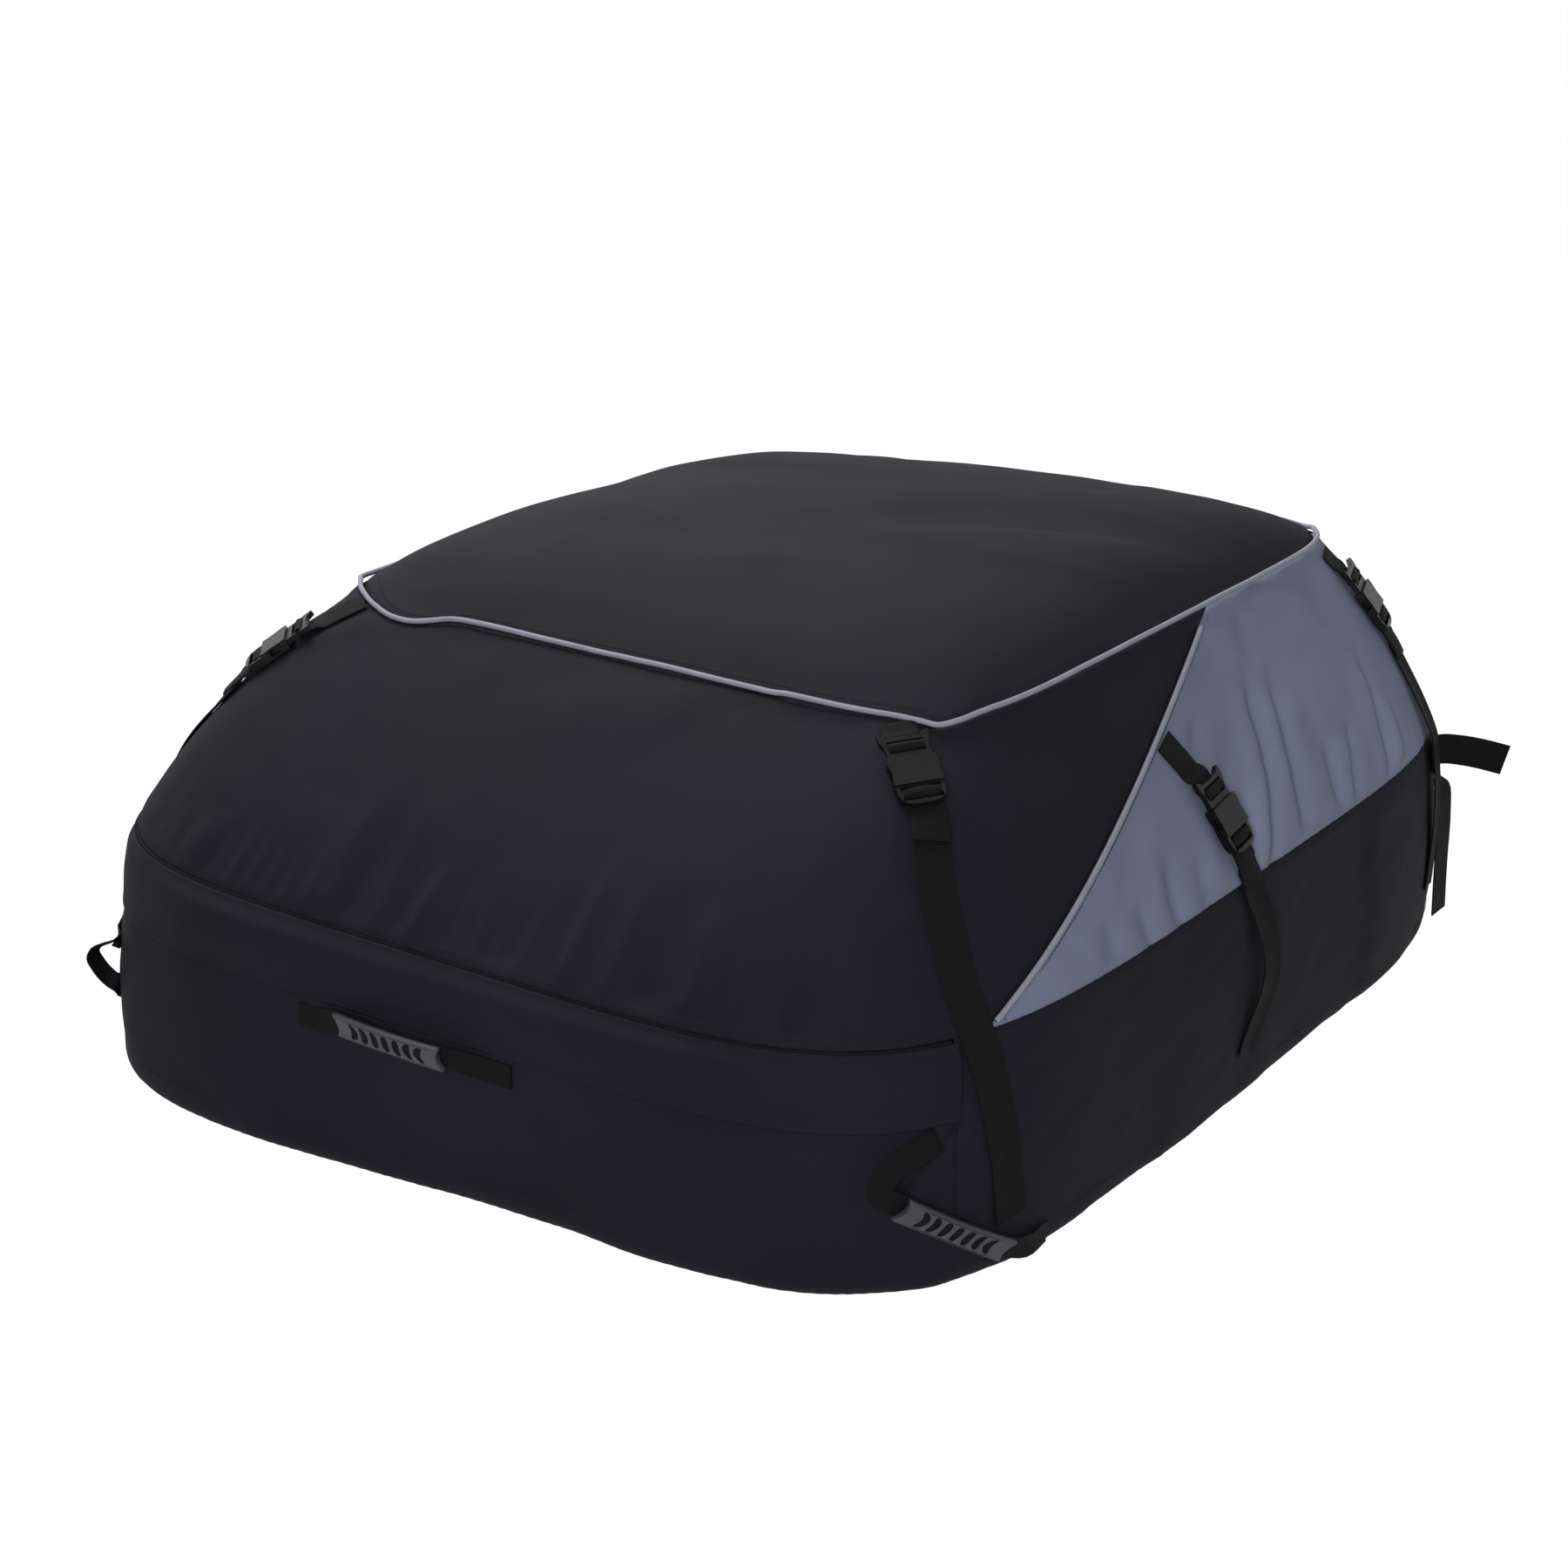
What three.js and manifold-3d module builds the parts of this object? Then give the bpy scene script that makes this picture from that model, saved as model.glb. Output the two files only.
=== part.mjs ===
import * as THREE from 'three';
import Module from 'manifold-3d';
import { mergeVertices } from 'three/addons/utils/BufferGeometryUtils.js';

const wasm = await Module();
wasm.setup();

// Soft roof cargo bag: a sewn tub, a sloped lid with side inserts, a domed roof panel,
// six buckled compression straps and three carrying handles. X runs along the front,
// the front faces -Y, and the origin is the middle of the underside. Millimetres.

// Body of the bag
const bagWidth = 920;
const bagDepth = 1060;
const seamHeight = 208;
const roofHeight = 388;
const crownHeight = 46;
const rearSag = 26;
const sideSlopeRun = 125;
const frontSlopeRun = 240;
const rearSlopeRun = 112;
const wallBulge = 7;
const floorRounding = 20;
const frontSlopeBow = 0.065;
const sideSlopeBow = 0.035;

// The foot of the front wall stands forward by frontFlare at the left; it fades out to the
// right, where it ends at flareStart of the half width
const frontFlare = 50;
const flareStart = 0.5;

// Squareness of the plan outline: 2 is an ellipse, higher is squarer
const seamSquareness = 4.8;
const floorSquareness = 5.2;
const floorLeftSquareness = 4.8;
const roofSquareness = 7.4;

// Cloth and seams
const cloth = 3;
const seamGap = 0.6;
const roofSeamInset = 1.5;
const gatherDepth = 4.5;
const insertFoldDepth = 2.5;
const pipingRadius = 2.8;
const roofPipingClearance = 1.8;
const insertPipingClearance = 0.9;
const pipingTuck = 0.03;

// Where the side insert leaves the lid seam and meets the roof, along the outline
const insertSeamStart = 1.105;
const insertRoofEnd = 1.58;
const insertCurve = 0.055;
const insertRearEnd = 2.15;
const leftInsertShift = 0.05;

// Zip and its rain flap, across the front and round both front corners
const zipReach = 0.066;
const zipBottom = 0.8;
const zipMiddle = 0.9;
const zipTapeThickness = 1.5;
const coilWidth = 6;
const coilHeight = 1.8;
const flapReach = 0.07;
const flapBottom = 0.7;
const flapThickness = 2.5;
const flapStandOff = 9.8;
const flapEdgeTuck = 6.2;
const sliderLength = 11;
const sliderWidth = 9.5;
const sliderPlate = 3.3;
const sliderGap = 5;
const pullWidth = 6;
const pullLength = 25;
const fitClearance = 0.3;

// Webbing, buckles and handles
const webbingWidth = 30;
const webbingThickness = 1.5;
const webbingLift = 1.3;
const buckleWidth = 41;
const buckleLift = 1.5;
const plugBase = 3.5;
const plugThickness = 5;
const plugLength = 21;
const prongLength = 21;
const socketBase = 1;
const socketHeight = 10;
const socketLength = 44.5;
const socketWall = 2.2;
const tailLength = 30;
const handleWebbingWidth = 20;
const gripLength = 118;
const gripWidth = 21.5;
const gripThickness = 5;
const gripBow = 2;
const gripWaist = 0.7;
const gripSeat = 0.8;

const clothBlack = finish(0x232228, 0.85);
const clothGrey = finish(0x7a7f8f, 0.8);
const pipingGrey = finish(0x858a9c, 0.7);
const webbingBlack = finish(0x191916, 0.9);
const plasticBlack = finish(0x1c1c1e, 0.45);
const rubberGrey = finish(0x4b4b52, 0.7);
const zipBlack = finish(0x17171a, 0.6);

const bag = new THREE.Group();

function finish(color, roughness) {
  return new THREE.MeshStandardMaterial({ color, roughness, metalness: 0 });
}

function addMesh(parent, name, geometry, material) {
  const mesh = new THREE.Mesh(geometry, material);
  mesh.name = name;
  parent.add(mesh);
  return mesh;
}

function smooth(x, from, to) {
  return THREE.MathUtils.smoothstep(x, from, to);
}

// Place along the outline: u 0 to 1 is the front from left to right, 1 to 2 the right side,
// 2 to 3 the rear and 3 to 4 the left side. The point lies on a square of half side 1.
function squarePoint(u) {
  const turn = ((u % 4) + 4) % 4;
  const side = Math.floor(turn);
  const along = -1 + 2 * (turn - side);
  return [[along, -1], [1, along], [-along, 1], [-1, -along]][side];
}

// How far a slope has come in and up at t, along a shallow curve bowed outward by `bow`
function slopeCurve(run, rise, bow, t) {
  const middle = 2 * t * (1 - t);
  const inward = middle * (run / 2 - 2 * bow * rise) + t * t * run;
  const upward = middle * (rise / 2 + 2 * bow * run) + t * t * rise;
  return [inward, upward];
}

// Skin of the bag: v 0 to 1 climbs the tub wall, 1 to 2 the lid's slope, 2 to 3 the roof,
// which sags by rearSag toward its rear left corner
function skinPoint(u, v) {
  const [p, q] = squarePoint(u);
  const wall = THREE.MathUtils.clamp(v, 0, 1);
  const slope = THREE.MathUtils.clamp(v - 1, 0, 1);
  const reach = THREE.MathUtils.clamp(3 - v, 0, 1);
  const wallZ = seamHeight * wall;
  const below = Math.max(floorRounding - wallZ, 0);
  const tuck = floorRounding - Math.sqrt(floorRounding ** 2 - below ** 2);
  const swell = wallBulge * Math.sin(Math.PI * wall) - tuck;
  const rise = roofHeight - seamHeight;
  const [frontIn, frontUp] = slopeCurve(frontSlopeRun, rise, frontSlopeBow, slope);
  const [sideIn, sideUp] = slopeCurve(sideSlopeRun, rise, sideSlopeBow, slope);
  const [rearIn, rearUp] = slopeCurve(rearSlopeRun, rise, sideSlopeBow, slope);
  const halfWidth = bagWidth / 2 + swell - sideIn;
  const frontY = -(bagDepth / 2 + swell) + frontIn;
  const rearY = bagDepth / 2 + swell - rearIn;
  const low = p < 0 && q < 0 ? floorLeftSquareness : floorSquareness;
  const tubPower = THREE.MathUtils.lerp(low, seamSquareness, wall);
  const power = THREE.MathUtils.lerp(tubPower, roofSquareness, slope);
  const sidePull = Math.abs(p) ** power;
  const endPull = Math.abs(q) ** power;
  const scale = (sidePull + endPull) ** (-1 / power) * reach;
  const endUp = q < 0 ? frontUp : rearUp;
  const slopeZ = (sidePull * sideUp + endPull * endUp) / (sidePull + endPull);
  const frontShare = q < 0 ? endPull / (sidePull + endPull) : 0;
  const flare = frontFlare * (1 - wall) * smooth(-p, -flareStart, 1) * frontShare;
  const [across, along] = [p * scale, q * scale];
  const dome = (1 - Math.abs(across) ** 7) * (1 - along ** 4) * (1 - reach ** 30);
  const sag = rearSag * smooth(-across, -0.4, 1) * smooth(along, -0.4, 1) * slope ** 2;
  return new THREE.Vector3(
    halfWidth * across,
    (frontY + rearY) / 2 + ((rearY - frontY) / 2) * along - flare,
    wallZ + slopeZ + crownHeight * dome - sag,
  );
}

function skinNormal(u, v) {
  const step = 0.004;
  const alongU = skinPoint(u + step, v).sub(skinPoint(u - step, v));
  const alongV = skinPoint(u, Math.min(v + step, 2.95)).sub(skinPoint(u, Math.max(v - step, 0)));
  return alongU.cross(alongV).normalize();
}

function offSkin(u, v, height) {
  return skinPoint(u, v).addScaledVector(skinNormal(u, v), height);
}

// Folds drawn up from the lid seam by its gathering, fading out up the slope
function gatherHeight(u, v) {
  const climb = v - 1;
  const fade = smooth(climb, 0, 0.08) * (1 - smooth(climb, 0.12, 0.5));
  const across = smooth(u, 0.02, 0.16) * (1 - smooth(u, 0.9, 1.02));
  const fine = Math.sin(2 * Math.PI * (15.5 * u + 0.25 * Math.sin(11 * u)));
  const coarse = Math.sin(2 * Math.PI * 6.3 * u + 1.1);
  return gatherDepth * fade * across * (0.62 * fine + 0.38 * coarse);
}

function insertFoldHeight(u, v) {
  const side = u > 2.5 ? 5 - u : u;
  const climb = v - 1;
  const fade = smooth(climb, 0, 0.1) * (1 - smooth(climb, 0.15, 0.75));
  const across = smooth(side, 1.3, 1.42) * (1 - smooth(side, 1.78, 1.87));
  return insertFoldDepth * fade * across * Math.sin(2 * Math.PI * (8.5 * side + 0.3 * Math.sin(9 * side)));
}

function signedVolume(position, index) {
  let volume = 0;
  const a = new THREE.Vector3();
  const b = new THREE.Vector3();
  const c = new THREE.Vector3();
  for (let i = 0; i < index.length; i += 3) {
    a.fromArray(position, 3 * index[i]);
    b.fromArray(position, 3 * index[i + 1]);
    c.fromArray(position, 3 * index[i + 2]);
    volume += a.dot(b.cross(c)) / 6;
  }
  return volume;
}

// Geometry from points and triangles, turned so that the faces point out
function closedGeometry(points, index) {
  const position = points.flatMap((point) => point.toArray());
  const outward = signedVolume(position, index) > 0;
  const faces = outward ? index : index.slice().reverse();
  const geometry = new THREE.BufferGeometry();
  geometry.setAttribute('position', new THREE.Float32BufferAttribute(position, 3));
  geometry.setIndex(faces);
  geometry.computeVertexNormals();
  return geometry;
}

// Cloth shell on a grid of columns and rows: outer(i, j) and inner(i, j) give its two faces.
// A wrapped shell closes on itself along its columns.
function clothShell(columns, rows, outer, inner, wrapped = false) {
  const points = [];
  const layers = [outer, inner];
  for (const face of layers) {
    for (let j = 0; j < rows; j += 1) {
      for (let i = 0; i < columns; i += 1) {
        points.push(face(i, j));
      }
    }
  }
  const at = (layer, i, j) => (layer * rows + j) * columns + (i % columns);
  const index = [];
  const quad = (a, b, c, d) => index.push(a, b, c, a, c, d);
  const spans = wrapped ? columns : columns - 1;
  for (let i = 0; i < spans; i += 1) {
    for (let j = 0; j < rows - 1; j += 1) {
      quad(at(0, i, j), at(0, i + 1, j), at(0, i + 1, j + 1), at(0, i, j + 1));
      quad(at(1, i, j), at(1, i, j + 1), at(1, i + 1, j + 1), at(1, i + 1, j));
    }
    quad(at(1, i, 0), at(1, i + 1, 0), at(0, i + 1, 0), at(0, i, 0));
    quad(at(0, i, rows - 1), at(0, i + 1, rows - 1), at(1, i + 1, rows - 1), at(1, i, rows - 1));
  }
  if (!wrapped) {
    const last = columns - 1;
    for (let j = 0; j < rows - 1; j += 1) {
      quad(at(1, 0, j), at(0, 0, j), at(0, 0, j + 1), at(1, 0, j + 1));
      quad(at(1, last, j), at(1, last, j + 1), at(0, last, j + 1), at(0, last, j));
    }
  }
  return closedGeometry(points, index);
}

// Solid swept through rings of points, each ring an outline with the same number of points
function sweptSolid(rings) {
  const sides = rings[0].length;
  const points = rings.flat();
  const index = [];
  for (let i = 0; i < rings.length - 1; i += 1) {
    for (let k = 0; k < sides; k += 1) {
      const a = i * sides + k;
      const b = i * sides + ((k + 1) % sides);
      index.push(a, b, b + sides, a, b + sides, a + sides);
    }
  }
  const end = (rings.length - 1) * sides;
  for (let k = 1; k < sides - 1; k += 1) {
    index.push(0, k + 1, k, end, end + k, end + k + 1);
  }
  return closedGeometry(points, index);
}

// Strap through stations, each with its middle and the direction across the webbing
function strapSolid(stations, width, thickness) {
  const rings = stations.map((station, i) => {
    const before = stations[Math.max(i - 1, 0)].at;
    const after = stations[Math.min(i + 1, stations.length - 1)].at;
    const along = after.clone().sub(before).normalize();
    const across = station.across.clone().addScaledVector(along, -station.across.dot(along)).normalize();
    const face = new THREE.Vector3().crossVectors(across, along);
    const corner = (side, layer) => station.at.clone()
      .addScaledVector(across, (side * width) / 2)
      .addScaledVector(face, (layer * thickness) / 2);
    return [corner(-1, -1), corner(1, -1), corner(1, 1), corner(-1, 1)];
  });
  return sweptSolid(rings);
}

function toManifold(geometry) {
  const bare = geometry.clone();
  bare.deleteAttribute('normal');
  bare.deleteAttribute('uv');
  const merged = mergeVertices(bare, 1e-4);
  const mesh = new wasm.Mesh({
    numProp: 3,
    vertProperties: new Float32Array(merged.attributes.position.array),
    triVerts: new Uint32Array(merged.index.array),
  });
  return new wasm.Manifold(mesh);
}

function fromManifold(solid) {
  const mesh = solid.getMesh();
  const geometry = new THREE.BufferGeometry();
  geometry.setAttribute('position', new THREE.Float32BufferAttribute(mesh.vertProperties, 3));
  geometry.setIndex(Array.from(mesh.triVerts));
  geometry.computeVertexNormals();
  return geometry;
}

function boxBetween(x0, x1, y0, y1, z0, z1) {
  const geometry = new THREE.BoxGeometry(x1 - x0, y1 - y0, z1 - z0);
  return geometry.translate((x0 + x1) / 2, (y0 + y1) / 2, (z0 + z1) / 2);
}

function rectanglePath(x0, x1, y0, y1) {
  const path = new THREE.Path();
  path.moveTo(x0, y0);
  path.lineTo(x1, y0);
  path.lineTo(x1, y1);
  path.lineTo(x0, y1);
  path.closePath();
  return path;
}

function plateFrom(shape, base, thickness, curveSegments = 4) {
  const geometry = new THREE.ExtrudeGeometry(shape, { depth: thickness, bevelEnabled: false, curveSegments });
  return geometry.translate(0, 0, base);
}

// Columns round the whole outline, closer together at the corners
function outlineColumns(perSide) {
  const columns = [];
  for (let side = 0; side < 4; side += 1) {
    for (let i = 0; i < perSide; i += 1) {
      const s = -1 + (2 * i) / perSide;
      const along = s + 0.15 * Math.sin(Math.PI * s);
      columns.push(side + (1 + along) / 2);
    }
  }
  return columns;
}

function evenly(from, to, count) {
  return Array.from({ length: count + 1 }, (_, i) => from + ((to - from) * i) / count);
}

function levelIn(u, v, amount) {
  const normal = skinNormal(u, v);
  const level = new THREE.Vector3(normal.x, normal.y, 0).normalize();
  return skinPoint(u, v).addScaledVector(level, -amount);
}

// Tub: a flat floor and one wall band, notched along the front for the zip
const tubColumns = outlineColumns(13);
const floorGeometry = (() => {
  const shape = new THREE.Shape(tubColumns.map((u) => {
    const edge = skinPoint(u, 0);
    const out = new THREE.Vector2(edge.x, edge.y);
    return out.setLength(out.length() - seamGap);
  }));
  return plateFrom(shape, 0, cloth);
})();
addMesh(bag, 'floor_panel', floorGeometry, clothBlack);

const notchStep = 0.004;

function isZipped(u) {
  return u < 1 + zipReach + notchStep / 2 || u > 4 - zipReach - notchStep / 2;
}

const wallColumns = tubColumns
  .concat([1 + zipReach, 1 + zipReach + notchStep, 4 - zipReach, 4 - zipReach - notchStep])
  .sort((a, b) => a - b);
const wallHeights = [0, 5, floorRounding, 85, 150];
const wallGeometry = clothShell(
  wallColumns.length,
  wallHeights.length + 1,
  (i, j) => skinPoint(wallColumns[i], wallRow(wallColumns[i], j)),
  (i, j) => {
    const u = wallColumns[i];
    if (j === 0) return skinPoint(u, 0).add(new THREE.Vector3(0, 0, cloth));
    if (j < wallHeights.length) return offSkin(u, wallRow(u, j), -cloth);
    return levelIn(u, wallRow(u, j), cloth);
  },
  true,
);
addMesh(bag, 'tub_wall', wallGeometry, clothBlack);

function wallRow(u, j) {
  if (j < wallHeights.length) return wallHeights[j] / seamHeight;
  return (isZipped(u) ? zipBottom : 1) - seamGap / 2 / seamHeight;
}

// Lid: the front slope, the two side inserts and the rear slope, each with its own edges
function insertFront(v) {
  const climb = v - 1;
  return THREE.MathUtils.lerp(insertSeamStart, insertRoofEnd - insertCurve, climb) + insertCurve * climb ** 4;
}

function insertRear(v) {
  return insertRearEnd + 0.02 * (v - 1);
}

function slopePanel(leftEdge, rightEdge, fractions, rows, relief) {
  const gap = 0.0012;
  const spot = (i, j) => {
    const v = rows[j];
    const u = THREE.MathUtils.lerp(leftEdge(v) + gap, rightEdge(v) - gap, fractions[i]);
    return [u, v];
  };
  const outer = (i, j) => {
    const [u, v] = spot(i, j);
    const height = relief(u, v);
    return height === 0 ? skinPoint(u, v) : offSkin(u, v, height);
  };
  const inner = (i, j) => {
    const [u, v] = spot(i, j);
    if (j === 0) return levelIn(u, v, cloth * 1.4);
    if (j === rows.length - 1) return skinPoint(u, v).add(new THREE.Vector3(0, 0, -cloth * 1.3));
    return offSkin(u, v, relief(u, v) - cloth);
  };
  return clothShell(fractions.length, rows.length, outer, inner);
}

const seamRow = 1 + seamGap / 2 / (roofHeight - seamHeight);
const slopeRows = [seamRow, 1.09, 1.22, 1.42, 1.7, 2];
const frontFractions = [
  ...evenly(0, 0.22, 5).slice(0, -1),
  ...evenly(0.22, 0.85, 42).slice(0, -1),
  ...evenly(0.85, 1, 4),
];
const frontLid = slopePanel(
  (v) => 1 - insertFront(v) - leftInsertShift,
  insertFront,
  frontFractions,
  slopeRows,
  gatherHeight,
);
addMesh(bag, 'lid_front_panel', frontLid, clothBlack);

const insertFractions = evenly(0, 1, 18);
const insertRight = slopePanel(insertFront, insertRear, insertFractions, slopeRows, insertFoldHeight);
addMesh(bag, 'side_insert_right', insertRight, clothGrey);
const insertLeft = slopePanel(
  (v) => 5 - insertRear(v),
  (v) => 5 - insertFront(v) - leftInsertShift,
  insertFractions,
  slopeRows,
  insertFoldHeight,
);
addMesh(bag, 'side_insert_left', insertLeft, clothGrey);
const rearLid = slopePanel(insertRear, (v) => 5 - insertRear(v), evenly(0, 1, 10), slopeRows, () => 0);
addMesh(bag, 'lid_rear_panel', rearLid, clothBlack);

// Roof: a domed panel of rings round one middle point
const roofGeometry = (() => {
  const columns = outlineColumns(10);
  const rings = [2, 2.06, 2.18, 2.42, 2.72];
  const points = [];
  const edgeScale = (u) => {
    const edge = skinPoint(u, 2);
    const length = Math.hypot(edge.x, edge.y);
    return (length - roofSeamInset) / length;
  };
  for (const drop of [0, cloth]) {
    rings.forEach((v, ring) => {
      for (const u of columns) {
        const point = skinPoint(u, v);
        if (ring === 0) {
          point.x *= edgeScale(u);
          point.y *= edgeScale(u);
        }
        points.push(point.add(new THREE.Vector3(0, 0, -drop)));
      }
    });
    points.push(skinPoint(0.5, 3).add(new THREE.Vector3(0, 0, -drop)));
  }
  const count = columns.length;
  const layerSize = rings.length * count + 1;
  const index = [];
  for (let i = 0; i < count; i += 1) {
    const next = (i + 1) % count;
    for (const layer of [0, 1]) {
      const start = layer * layerSize;
      const facet = (a, b, c) => (layer === 0 ? index.push(a, b, c) : index.push(a, c, b));
      for (let ring = 0; ring < rings.length - 1; ring += 1) {
        const low = start + ring * count;
        facet(low + i, low + next, low + count + next);
        facet(low + i, low + count + next, low + count + i);
      }
      const top = start + (rings.length - 1) * count;
      facet(top + i, top + next, start + layerSize - 1);
    }
    index.push(layerSize + i, layerSize + next, next, layerSize + i, next, i);
  }
  return closedGeometry(points, index);
})();
addMesh(bag, 'roof_panel', roofGeometry, clothBlack);

// Piping: a round cord in a cloth cover, standing on the seams
function pipingAlong(points, steps) {
  const section = new THREE.Shape();
  section.absarc(0, 0, pipingRadius, 0, 2 * Math.PI, false);
  const path = new THREE.CatmullRomCurve3(points);
  return new THREE.ExtrudeGeometry(section, { steps, extrudePath: path, curveSegments: 3 });
}

const pipingEnd = 0.004;
// At the rear and left the roof's cloth bulges over its seam, and the piping lies lower
const roofPipingPoints = evenly(2.5 + pipingEnd, 6.5 - pipingEnd, 60).map((u) => {
  const turn = u % 4;
  const low = smooth(turn, 2.08, 2.3) * (1 - smooth(turn, 3.72, 3.9));
  return offSkin(u, 2 - pipingTuck * low, pipingRadius + roofPipingClearance);
});
addMesh(bag, 'roof_piping', pipingAlong(roofPipingPoints, 52), pipingGrey);

const insertPipingRows = evenly(1.02, 1.93, 14);
for (const side of ['right', 'left']) {
  const points = insertPipingRows.map((v) => {
    const u = side === 'right' ? insertFront(v) : 5 - insertFront(v) - leftInsertShift;
    return offSkin(u, v, pipingRadius + insertPipingClearance);
  });
  addMesh(bag, `insert_piping_${side}`, pipingAlong(points, 11), pipingGrey);
}

// Zip: tape with its coil as a low ridge, two sliders with tape pulls, and the rain flap
const zipColumns = evenly(-zipReach + 0.002, 1 + zipReach - 0.002, 16);
const coilHalf = coilWidth / 2 / seamHeight;
const coilEdge = 0.002;
const zipRows = [
  zipBottom + seamGap / seamHeight,
  zipMiddle - coilHalf - coilEdge,
  zipMiddle - coilHalf,
  zipMiddle + coilHalf,
  zipMiddle + coilHalf + coilEdge,
  1 - seamGap / seamHeight,
];
const zipTape = clothShell(
  zipColumns.length,
  zipRows.length,
  (i, j) => levelIn(zipColumns[i], zipRows[j], j === 2 || j === 3 ? -coilHeight : 0),
  (i, j) => levelIn(zipColumns[i], zipRows[j], zipTapeThickness),
);
addMesh(bag, 'zip_tape', zipTape, zipBlack);

const zipHeight = zipMiddle * seamHeight;
const pullThickness = 1;
const sliderTravel = 200;

// A slider runs straight between two places on the tape; the tape's face must stay behind it.
// Gives the y of the slider's back at its first place.
function runningFace(fromX, toX) {
  const low = zipMiddle - sliderWidth / 2 / seamHeight;
  const faces = evenly(fromX, toX, 12).map((x) => skinPoint(0.5 + x / bagWidth, low));
  const [first, last] = [faces[0], faces.at(-1)];
  const slant = (last.y - first.y) / (last.x - first.x);
  const proud = faces.map((face) => first.y + slant * (face.x - first.x) - face.y);
  return first.y - Math.max(...proud) - fitClearance;
}

for (const [side, sign] of [['left', -1], ['right', 1]]) {
  const nearX = sliderGap / 2;
  const farX = nearX + sliderLength;
  const [x0, x1] = sign > 0 ? [nearX, farX] : [-farX, -nearX];
  const middleX = (x0 + x1) / 2;
  const flangeY = runningFace(middleX, middleX + sign * sliderTravel);
  const sliderBase = flangeY - coilHeight;
  const sliderFront = sliderBase - sliderPlate;
  const slotBack = sliderBase - 0.9;
  const slotFront = slotBack - pullThickness - 2 * fitClearance;
  const halfHigh = sliderWidth / 2;
  const body = toManifold(boxBetween(x0, x1, sliderFront, flangeY, zipHeight - halfHigh, zipHeight + halfHigh));
  const coilRoom = coilWidth / 2 + 0.5;
  const channel = toManifold(boxBetween(x0 - 1, x1 + 1, sliderBase, flangeY + 1, zipHeight - coilRoom, zipHeight + coilRoom));
  const halfSlot = pullWidth / 2 + fitClearance;
  const slot = toManifold(boxBetween(middleX - halfSlot, middleX + halfSlot, slotFront, slotBack, zipHeight - 10, zipHeight + 10));
  addMesh(bag, `zip_slider_${side}`, fromManifold(body.subtract(channel).subtract(slot)), plasticBlack);
  const pullY = (slotBack + slotFront) / 2;
  const pullTop = zipHeight + halfHigh + 1;
  const pull = boxBetween(
    middleX - pullWidth / 2,
    middleX + pullWidth / 2,
    pullY - pullThickness / 2,
    pullY + pullThickness / 2,
    pullTop - pullLength,
    pullTop,
  );
  addMesh(bag, `zip_pull_${side}`, pull, webbingBlack);
}

const flapRows = [0.985, 0.955, 0.925, 0.865, flapBottom];
function flapHeight(v) {
  return 0.6 + (flapStandOff - 0.6) * smooth(0.985 - v, 0, 0.055) - flapEdgeTuck * smooth(0.865 - v, 0, 0.165);
}
const flapColumns = evenly(-flapReach, 1 + flapReach, 26);
const flap = clothShell(
  flapColumns.length,
  flapRows.length,
  (i, j) => levelIn(flapColumns[i], flapRows[j], -flapHeight(flapRows[j]) - flapThickness),
  (i, j) => levelIn(flapColumns[i], flapRows[j], -flapHeight(flapRows[j])),
);
addMesh(bag, 'zip_flap', flap, clothBlack);

// Buckle: the plug and socket lie in their own frame, x across the webbing,
// y down the strap from the plug's outer bar, and z out from the bag
const halfSlotWidth = webbingWidth / 2 + 0.6;
const plugGeometry = (() => {
  const half = buckleWidth / 2;
  const right = [
    [0, 0.6], [13, 0], [17, -3], [half, -4.5], [half, 2.5], [18, 8], [17.2, 14], [18, plugLength],
    [15.4, plugLength], [15.4, 31], [14.4, 39], [11.6, plugLength + prongLength], [10.2, 40],
    [11.4, 30], [11.4, 24], [3.6, 24], [3.6, 37], [1.8, 39.5],
  ];
  const shape = new THREE.Shape();
  right.forEach(([x, y], i) => (i === 0 ? shape.moveTo(x, y) : shape.lineTo(x, y)));
  right.slice(1).reverse().forEach(([x, y]) => shape.lineTo(-x, y));
  shape.closePath();
  const inner = halfSlotWidth - 1;
  shape.holes.push(rectanglePath(-inner, inner, 3.6, 7.8));
  shape.holes.push(rectanglePath(-inner, inner, 11.6, 15.4));
  return plateFrom(shape, plugBase, plugThickness);
})();

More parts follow.
